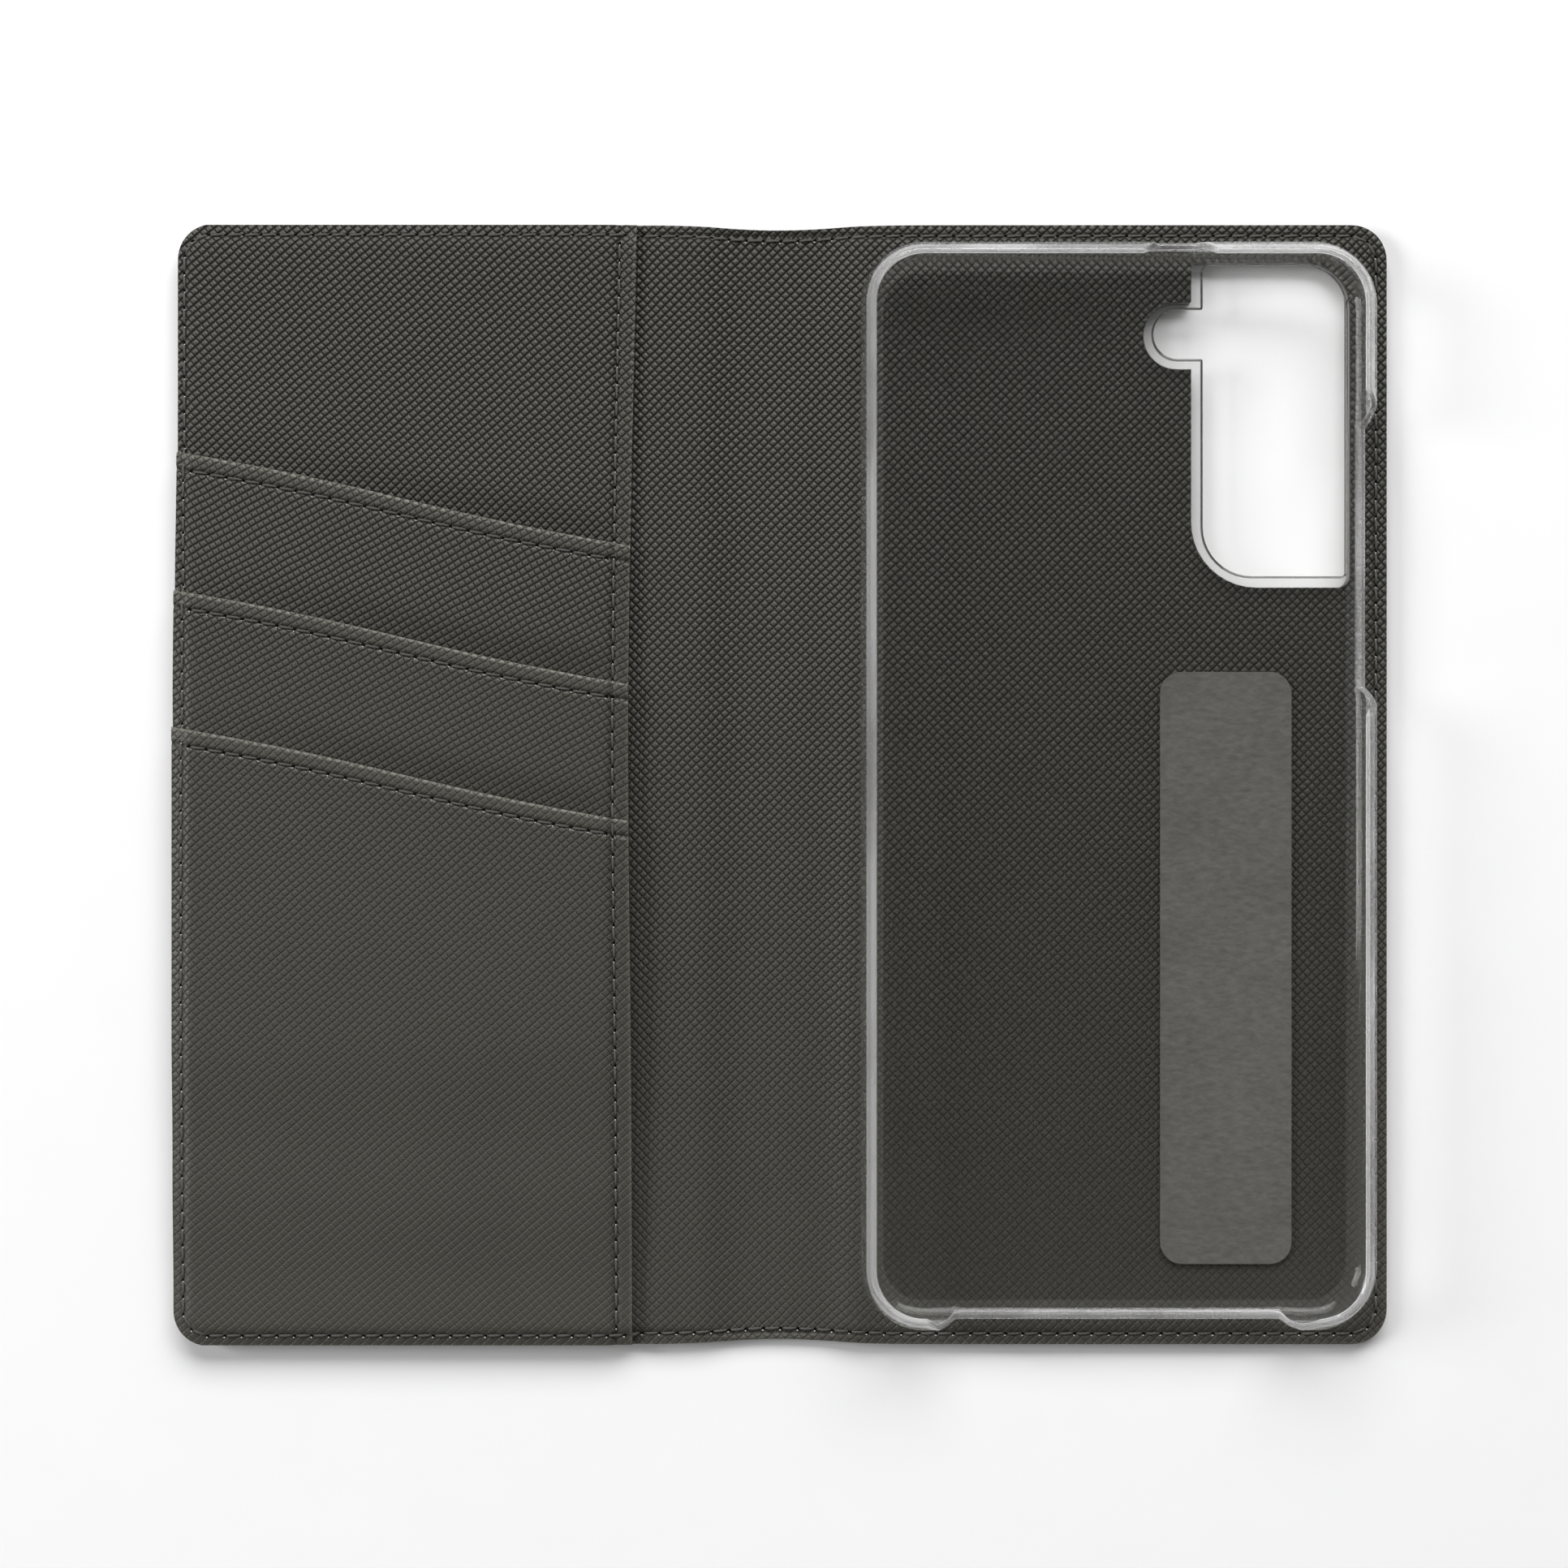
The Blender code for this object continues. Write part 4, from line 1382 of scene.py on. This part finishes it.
    def perimeter(self) -> np.ndarray:
        """The seam round the case, a fixed way inside the outline, from the middle of its top."""
        outline = self.leather.outline
        inset = self.leather.seam_in
        half_x, half_y = outline.half_width - inset, outline.half_length - inset
        radius = outline.corner - inset
        parts = 8
        corners = ((half_x, half_y, 90.0), (half_x, -half_y, 0.0), (-half_x, -half_y, -90.0),
                   (-half_x, half_y, -180.0))
        points = [(0.0, half_y)]
        for corner_x, corner_y, start in corners:
            middle_x = corner_x - math.copysign(radius, corner_x)
            middle_y = corner_y - math.copysign(radius, corner_y)
            for step in range(parts + 1):
                angle = math.radians(start - 90.0 * step / parts)
                points.append((middle_x + radius * math.cos(angle),
                               middle_y + radius * math.sin(angle)))
        points.append((0.0, half_y))
        dense = []
        for (x0, y0), (x1, y1) in zip(points, points[1:]):
            parts = max(1, int(math.hypot(x1 - x0, y1 - y0) / (1.0 * MM)))
            dense += [(x0 + (x1 - x0) * k / parts, y0 + (y1 - y0) * k / parts) for k in range(parts)]
        route = np.array(dense + [points[-1]])
        route[:, 1] -= np.sign(route[:, 1]) * outline.sag(route[:, 0]) * outline.sag_share(route[:, 1])
        return route

    def build(self) -> list[bpy.types.Object]:
        """Sews every seam, in pieces; those on the covers and pockets ride with them, those across the
        spine stay in place.
        """
        made = []
        turn_x = self.leather.crease_x + self.turn_past
        around = self.seam(self.perimeter(), self.surface, closed=True)
        groups = {
            "back_edge_seam": [p for x, p in around if x > turn_x],
            "front_edge_seam": [p for x, p in around if x < -turn_x],
        }
        for end, sign in (("upper", 1.0), ("lower", -1.0)):
            for side, facing in (("back", 1.0), ("front", -1.0)):
                groups[f"spine_{end}_seam_{side}_half"] = [
                    p for x, p in around
                    if 0.0 <= x * facing <= turn_x and (x * facing > 0.0 or facing > 0)
                    and Bench.points(p)[:, 1].mean() * sign > 0.0
                ]
        for name, pieces in groups.items():
            made.append(Bench.join(name, pieces))
        self.ride(made)
        made += self.pocket_seams()
        for model in (self.stitch, self.hole_shade, self.knot):
            bpy.data.objects.remove(model, do_unlink=True)
        return made

    def ride(self, seams: Sequence[bpy.types.Object]) -> None:
        """Rides the seam's cover pieces on their covers; the pieces across the spine stay where they
        are.
        """
        nodes = {
            "back_edge_seam": "back_edge_stitching",
            "front_edge_seam": "front_edge_stitching",
            "spine_upper_seam_back_half": "spine_stitching_upper",
            "spine_lower_seam_back_half": "spine_stitching_lower",
        }
        for seam in seams:
            sign, body = (1.0, Body.BACK) if "back" in seam.name else (-1.0, Body.FRONT)
            crease = sign * self.leather.crease_x
            half = sign * self.blend_half
            if seam.name.startswith("spine"):
                crease + half
                crease - half
                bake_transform(seam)
            else:
                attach(seam, body.value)
            if seam.name in nodes:
                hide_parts(nodes[seam.name])

    def pocket_seams(self) -> list[bpy.types.Object]:
        """The seams along the hems and down the pockets' free side."""
        leather = self.leather
        made = []
        left = -leather.outline.half_width + leather.seam_in + self.seam_clear
        right = leather.free_edge - leather.side_seam_in - 1.2 * MM
        for level in leather.levels[1:]:
            x = np.linspace(left, right, 80)
            y = leather.hem_line(level, x) - leather.hem_seam_in * 1.02

            def height(px: np.ndarray, py: np.ndarray, level: str = level) -> np.ndarray:
                """The groove's floor."""
                swell = leather.hem_swell * 0.8 - 0.30 * MM
                return leather.panel_height(level, px, py) + swell

            pieces = [p for _, p in self.seam(np.column_stack([x, y]), height)]
            seam = Bench.join(f"hem_seam_{level}", pieces)
            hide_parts(f"hem_stitching_{level}")
            made.append(seam)
        reach = leather.outline.half_length - leather.seam_in - self.seam_clear
        y = np.linspace(reach, -reach, 200)
        x = leather.free_line(y) - leather.side_seam_in
        pieces = [p for _, p in self.seam(np.column_stack([x, y]), self.surface)]
        seam = Bench.join("pocket_side_seam", pieces)
        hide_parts("pocket_side_stitching")
        made.append(seam)
        for seam in made:
            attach(seam, Body.FRONT.value)
        return made


# ---------------------------------------------------------------------------------------------
# The clear shell
# ---------------------------------------------------------------------------------------------


@dataclass
class Shell:
    """The clear snap-in shell: a thin tray with a lip, gaps in its walls and a camera window."""

    finishes: Finishes
    corner: float = 9.5 * MM
    foot: float = 3.6 * MM
    wall: float = 1.0 * MM
    floor: float = 1.0 * MM
    shoulder: float = 5.7 * MM
    lean: float = 1.7 * MM
    sill: float = 1.8 * MM
    nose: float = 0.45 * MM
    swing: float = 5.0 * MM
    port_gap: tuple[float, float] = (24.2 * MM, 78.0 * MM)
    button_gap: tuple[float, float] = (12.5 * MM, 56.5 * MM)
    mic_gap: tuple[float, float] = (55.6 * MM, 63.8 * MM)
    mic_sill: float = 5.2 * MM
    window: tuple[tuple[float, float], tuple[float, float]] = (
        (64.2 * MM, 85.8 * MM), (31.7 * MM, 79.0 * MM))
    window_radii: tuple[float, ...] = (7.5 * MM, 0.5 * MM, 6.0 * MM, 1.0 * MM)
    notch: tuple[tuple[float, float], tuple[float, float]] = (
        (56.7 * MM, 66.0 * MM), (64.75 * MM, 72.25 * MM))
    notch_radius: float = 3.74 * MM
    corner_steps: int = 14
    wall_steps: int = 16
    wall_curve: float = 1.4
    lean_curve: float = 1.8
    lip_turns: tuple[float, ...] = (30.0, 60.0, 90.0, 120.0, 150.0)
    floor_corners: int = 40
    swing_step: float = 0.9 * MM
    wall_step: float = 3.0 * MM
    mic_swing: float = 0.4
    edge_round: float = 0.26 * MM
    edge_angle: float = 60.0
    smooth_angle: float = 22.0
    low: Vector = field(init=False)
    high: Vector = field(init=False)

    def __post_init__(self) -> None:
        """Takes the shell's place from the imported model."""
        self.low, self.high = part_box("clear_shell")

    @staticmethod
    def dip(place: np.ndarray, gap: tuple[float, float], swing: float) -> np.ndarray:
        """1 inside a gap, 0 outside it, with a smooth swing at either end."""
        inside = np.minimum(place - gap[0], gap[1] - place)
        return ease(inside / swing + 0.5)

    def ring(self) -> tuple[np.ndarray, np.ndarray]:
        """Points round the corners' centres, and the outward direction at each.

        Returns:
            The points and the directions, anticlockwise from the lower left corner.
        """
        x0, x1 = self.low.x + self.corner, self.high.x - self.corner
        y0, y1 = self.low.y + self.corner, self.high.y - self.corner
        sides = (
            ((x0, y0), (x1, y0), -90.0, self.port_gap, 0),
            ((x1, y0), (x1, y1), 0.0, self.button_gap, 1),
            ((x1, y1), (x0, y1), 90.0, self.mic_gap, 0),
            ((x0, y1), (x0, y0), 180.0, (), 1),
        )
        points, facings = [], []
        for start, end, facing, gap, axis in sides:
            for step in range(self.corner_steps):
                points.append(start)
                facings.append(facing - 90.0 + 90.0 * step / self.corner_steps)
            low, high = sorted((start[axis], end[axis]))
            extra: list[float] = []
            for stop in gap:
                extra += list(np.arange(stop - self.swing, stop + self.swing, self.swing_step))
            extra = [e for e in extra if low < e < high]
            places = stations(low, high, self.wall_step, extra=extra)
            if start[axis] > end[axis]:
                places = places[::-1]
            for place in places[:-1]:
                point = list(start)
                point[axis] = float(place)
                points.append(tuple(point))
                facings.append(facing)
        angles = np.radians(facings)
        return np.array(points), np.column_stack([np.cos(angles), np.sin(angles)])

    def rim_height(self, outer: np.ndarray, facing: np.ndarray) -> np.ndarray:
        """The wall's height at each point of the ring."""
        full = self.high.z - self.low.z
        port = self.dip(outer[:, 0], self.port_gap, self.swing) * (facing[:, 1] < -0.9)
        button = self.dip(outer[:, 1], self.button_gap, self.swing) * (facing[:, 0] > 0.9)
        mic = self.dip(outer[:, 0], self.mic_gap, self.swing * self.mic_swing) * (facing[:, 1] > 0.9)
        height = full - (full - self.sill) * np.maximum(port, button)
        return height - (full - self.mic_sill) * mic

    def lean_in(self, z: np.ndarray) -> np.ndarray:
        """How far the wall leans in above its shoulder."""
        rise = self.high.z - self.low.z - self.shoulder
        return self.lean * (np.maximum(z - self.shoulder, 0) / rise) ** self.lean_curve

    def outer_inset(self, z: np.ndarray) -> np.ndarray:
        """How far in the wall's outer face lies at a height above the shell's foot."""
        short = np.maximum(self.foot - z, 0)
        in_foot = self.foot - np.sqrt(np.maximum(self.foot**2 - short**2, 0))
        return in_foot + self.lean_in(z)

    def inner_inset(self, z: np.ndarray) -> np.ndarray:
        """How far in the wall's inner face lies."""
        radius = self.foot - self.floor
        short = np.clip(self.foot - z, 0, radius)
        in_foot = radius - np.sqrt(radius**2 - short**2)
        return self.wall + in_foot + self.lean_in(z)

    def build(self) -> bpy.types.Object:
        """Makes the shell: its walls on a bent grid, then its floor, then its window."""
        points, facing = self.ring()
        outer = points + facing * self.corner
        tops = self.rim_height(outer, facing) - self.nose
        steps = self.wall_steps
        rings = []
        for share in np.linspace(0.0, 1.0, steps) ** self.wall_curve:
            z = tops * share
            rings.append((self.outer_inset(z), z))
        nose_out, nose_in = self.outer_inset(tops), self.inner_inset(np.maximum(tops, self.floor))
        middle, half = (nose_out + nose_in) / 2, (nose_in - nose_out) / 2
        for turn in np.radians(self.lip_turns):
            rings.append((middle - half * math.cos(turn), tops + self.nose * math.sin(turn)))
        for share in np.linspace(1.0, 0.0, steps) ** self.wall_curve:
            z = self.floor + (np.maximum(tops, self.floor) - self.floor) * share
            rings.append((self.inner_inset(z), z))
        x = np.array([points[:, 0] + (self.corner - inset) * facing[:, 0] for inset, _ in rings])
        y = np.array([points[:, 1] + (self.corner - inset) * facing[:, 1] for inset, _ in rings])
        z = np.array([height for _, height in rings]) + self.low.z
        x, y, z = (np.column_stack([a, a[:, 0]]) for a in (x, y, z))
        columns, rows = np.meshgrid(*(np.arange(count, dtype=float) for count in x.shape[::-1]))
        obj = Bench.grid("clear_shell_body", columns, rows)
        at = np.round(Bench.points(obj)[:, :2]).astype(int)
        Bench.move(obj, np.column_stack([a[at[:, 1], at[:, 0]] for a in (x, y, z)]))
        for finish in self.finishes.clear:
            obj.data.materials.append(finish)
        for face in obj.data.polygons:
            ring = [int(at[corner, 1]) for corner in face.vertices]
            # The lip's faces take the milky painted highlight.
            face.material_index = 3 if min(ring) >= steps - 2 and max(ring) <= steps + 6 else 0
        self.close(obj)
        through = (self.low.z - 2 * MM, self.low.z + self.floor + 1.0 * MM)
        radius = self.notch_radius
        for cutter in (
            Bench.plate("shell_window_cutter", *self.window, through, self.window_radii),
            Bench.plate("shell_notch_cutter", *self.notch, through, (radius, 0.0, 0.0, radius)),
        ):
            Bench.cut(obj, cutter)
        Bench.apply(obj, "BEVEL", width=self.edge_round, segments=2, limit_method="ANGLE",
                    angle_limit=math.radians(self.edge_angle), use_clamp_overlap=False)
        Bench.smooth(obj, self.smooth_angle)
        self.dress(obj)
        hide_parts("clear_shell")
        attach(obj, Body.BACK.value)
        return obj

    def dress(self, obj: bpy.types.Object) -> None:
        """Gives walls their finish, the floor its grey painted shade and the window's cut edges their
        near-black painted shade.
        """
        middle = (self.low + self.high) / 2
        half = (self.high - self.low) / 2
        outline = Outline(half.x, half.y, self.corner)
        flat = 0.05 * MM
        for face in obj.data.polygons:
            at = Vector(face.center) - middle
            inside = float(outline.inward(np.array([at.x]), np.array([at.y]))[0])
            if len(face.vertices) > self.floor_corners:
                # The floor's large faces: grey painted shade.
                face.material_index = 1
            elif inside > self.foot + flat and at.z < self.floor + flat - half.z:
                # The window's cut edges: near-black painted shade.
                face.material_index = 2

    def close(self, obj: bpy.types.Object) -> None:
        """Welds the ring and fills the floor's two faces."""
        Bench.pick(obj)
        bpy.ops.object.mode_set(mode="EDIT")
        bpy.ops.mesh.select_all(action="SELECT")
        bpy.ops.mesh.remove_doubles(threshold=1e-6)
        for _ in range(2):
            bpy.ops.mesh.select_all(action="DESELECT")
            bpy.ops.mesh.select_mode(type="EDGE")
            bpy.ops.mesh.select_non_manifold(extend=False, use_wire=False, use_boundary=True,
                                             use_multi_face=False, use_non_contiguous=False,
                                             use_verts=False)
            bpy.ops.object.mode_set(mode="OBJECT")
            level = self.low.z + self.floor / 2
            places = Bench.points(obj)
            below = [places[e.vertices[0], 2] < level for e in obj.data.edges if e.select]
            side = any(below)
            for edge in obj.data.edges:
                if edge.select and (places[edge.vertices[0], 2] < level) != side:
                    edge.select = False
            bpy.ops.object.mode_set(mode="EDIT")
            bpy.ops.mesh.edge_face_add()
        bpy.ops.mesh.select_all(action="SELECT")
        bpy.ops.mesh.normals_make_consistent(inside=False)
        bpy.ops.object.mode_set(mode="OBJECT")


# ---------------------------------------------------------------------------------------------
# The studio
# ---------------------------------------------------------------------------------------------


@dataclass(frozen=True)
class Lamp:
    """A soft rectangular lamp aimed at the middle of the case."""

    name: str
    place: tuple[float, float, float]
    size: tuple[float, float]
    power: float

    def build(self) -> None:
        """Adds the lamp."""
        data = bpy.data.lights.new(self.name, "AREA")
        data.shape = "RECTANGLE"
        data.size, data.size_y = self.size
        data.energy = self.power
        lamp = bpy.data.objects.new(self.name, data)
        bpy.context.scene.collection.objects.link(lamp)
        lamp.location = self.place
        lamp.rotation_euler = (-Vector(self.place)).to_track_quat("-Z", "Y").to_euler()


@dataclass
class Studio:
    """The floor, the lamps and the camera above the case."""

    finishes: Finishes
    camera_place: tuple[float, float, float] = (0.5 * MM, 0.1 * MM, 420.0 * MM)
    lens: float = 62.7
    overhead: float = 0.12
    horizon: float = 0.50
    lamps: tuple[Lamp, ...] = (
        Lamp("top_softbox", (0.22, 1.53, 1.26), (2.0, 1.1), 48.0),
        Lamp("left_softbox", (-1.66, 0.25, 1.02), (0.8, 0.7), 21.0),
    )

    def build(self) -> None:
        """Sets the stage."""
        bpy.ops.object.select_all(action="DESELECT")
        bpy.ops.mesh.primitive_plane_add(size=40.0, location=(0.0, 0.0, -0.02 * MM))
        floor = Bench.named("studio_floor")
        floor.data.materials.append(self.finishes.floor)
        floor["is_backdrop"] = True
        for lamp in self.lamps:
            lamp.build()
        self.tent()
        data = bpy.data.cameras.new("camera")
        data.lens = self.lens
        data.sensor_width = 36.0
        data.clip_start = 0.01
        camera = bpy.data.objects.new("camera", data)
        bpy.context.scene.collection.objects.link(camera)
        camera.location = self.camera_place
        bpy.context.scene.camera = camera
        bpy.context.scene.view_settings.view_transform = "Standard"

    def tent(self) -> None:
        """Puts a pale tent round the stage, brighter low down than overhead."""
        world = bpy.data.worlds.new("studio")
        world.use_nodes = True
        tree = world.node_tree
        where = tree.nodes.new("ShaderNodeTexCoord")
        split = tree.nodes.new("ShaderNodeSeparateXYZ")
        bands = tree.nodes.new("ShaderNodeMapRange")
        bands.interpolation_type = "SMOOTHSTEP"
        tree.links.new(where.outputs["Generated"], split.inputs[0])
        tree.links.new(split.outputs["Z"], bands.inputs["Value"])
        for name, value in (("From Min", 0.05), ("From Max", 0.55), ("To Min", self.horizon),
                            ("To Max", self.overhead)):
            bands.inputs[name].default_value = value
        tree.links.new(bands.outputs[0], tree.nodes["Background"].inputs["Strength"])
        tree.nodes["Background"].inputs["Color"].default_value = (1.0, 1.0, 1.0, 1.0)
        bpy.context.scene.world = world


def dress_nodes(finishes: Finishes) -> None:
    """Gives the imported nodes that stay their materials."""
    for name, finish in (
        ("back_board", finishes.board),
        ("front_board", finishes.board),
        ("bond_pad", finishes.felt),
    ):
        node = frame["nodes"][name]
        node.data.materials.clear()
        node.data.materials.append(finish)


def leather_stack() -> Leather:
    """The leather's sizes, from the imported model."""
    low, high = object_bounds()
    outline = Outline((high.x - low.x) / 2 + 0.1 * MM, (high.y - low.y) / 2 + 0.3 * MM)
    lining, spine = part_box("back_lining"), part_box("spine_lining")
    skin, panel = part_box("back_outer_leather"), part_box("cash_pocket_panel")
    panels = {"cash": panel[1].z}
    for level in ("top", "middle", "bottom"):
        panels[level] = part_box(f"card_pocket_{level}")[1].z
    crease = max(joint["pos_m"][0] for joint in frame["joints"])
    return Leather(
        outline=outline, board_edge=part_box("back_board")[0].x, crease_x=crease,
        lining_top=lining[1].z, lining_thick=lining[1].z - lining[0].z, spine_top=spine[1].z,
        skin_thick=skin[1].z - skin[0].z, panel_tops=panels, panel_thick=panel[1].z - panel[0].z,
        free_edge=panel[1].x)


def main() -> None:
    """Builds the visual model and its studio, in order."""
    logging.basicConfig(level=logging.INFO, format="%(name)s: %(message)s")
    finishes = Finishes()
    Studio(finishes).build()
    leather = leather_stack()
    made = Covers(leather, finishes).build()
    made += Pockets(leather, finishes).build()
    made += Sewing(leather, finishes).build()
    made.append(Shell(finishes).build())
    dress_nodes(finishes)
    for piece in made:
        LOG.info("%s: %d faces", piece.name, len(piece.data.polygons))


if __name__ == "__main__":
    main()
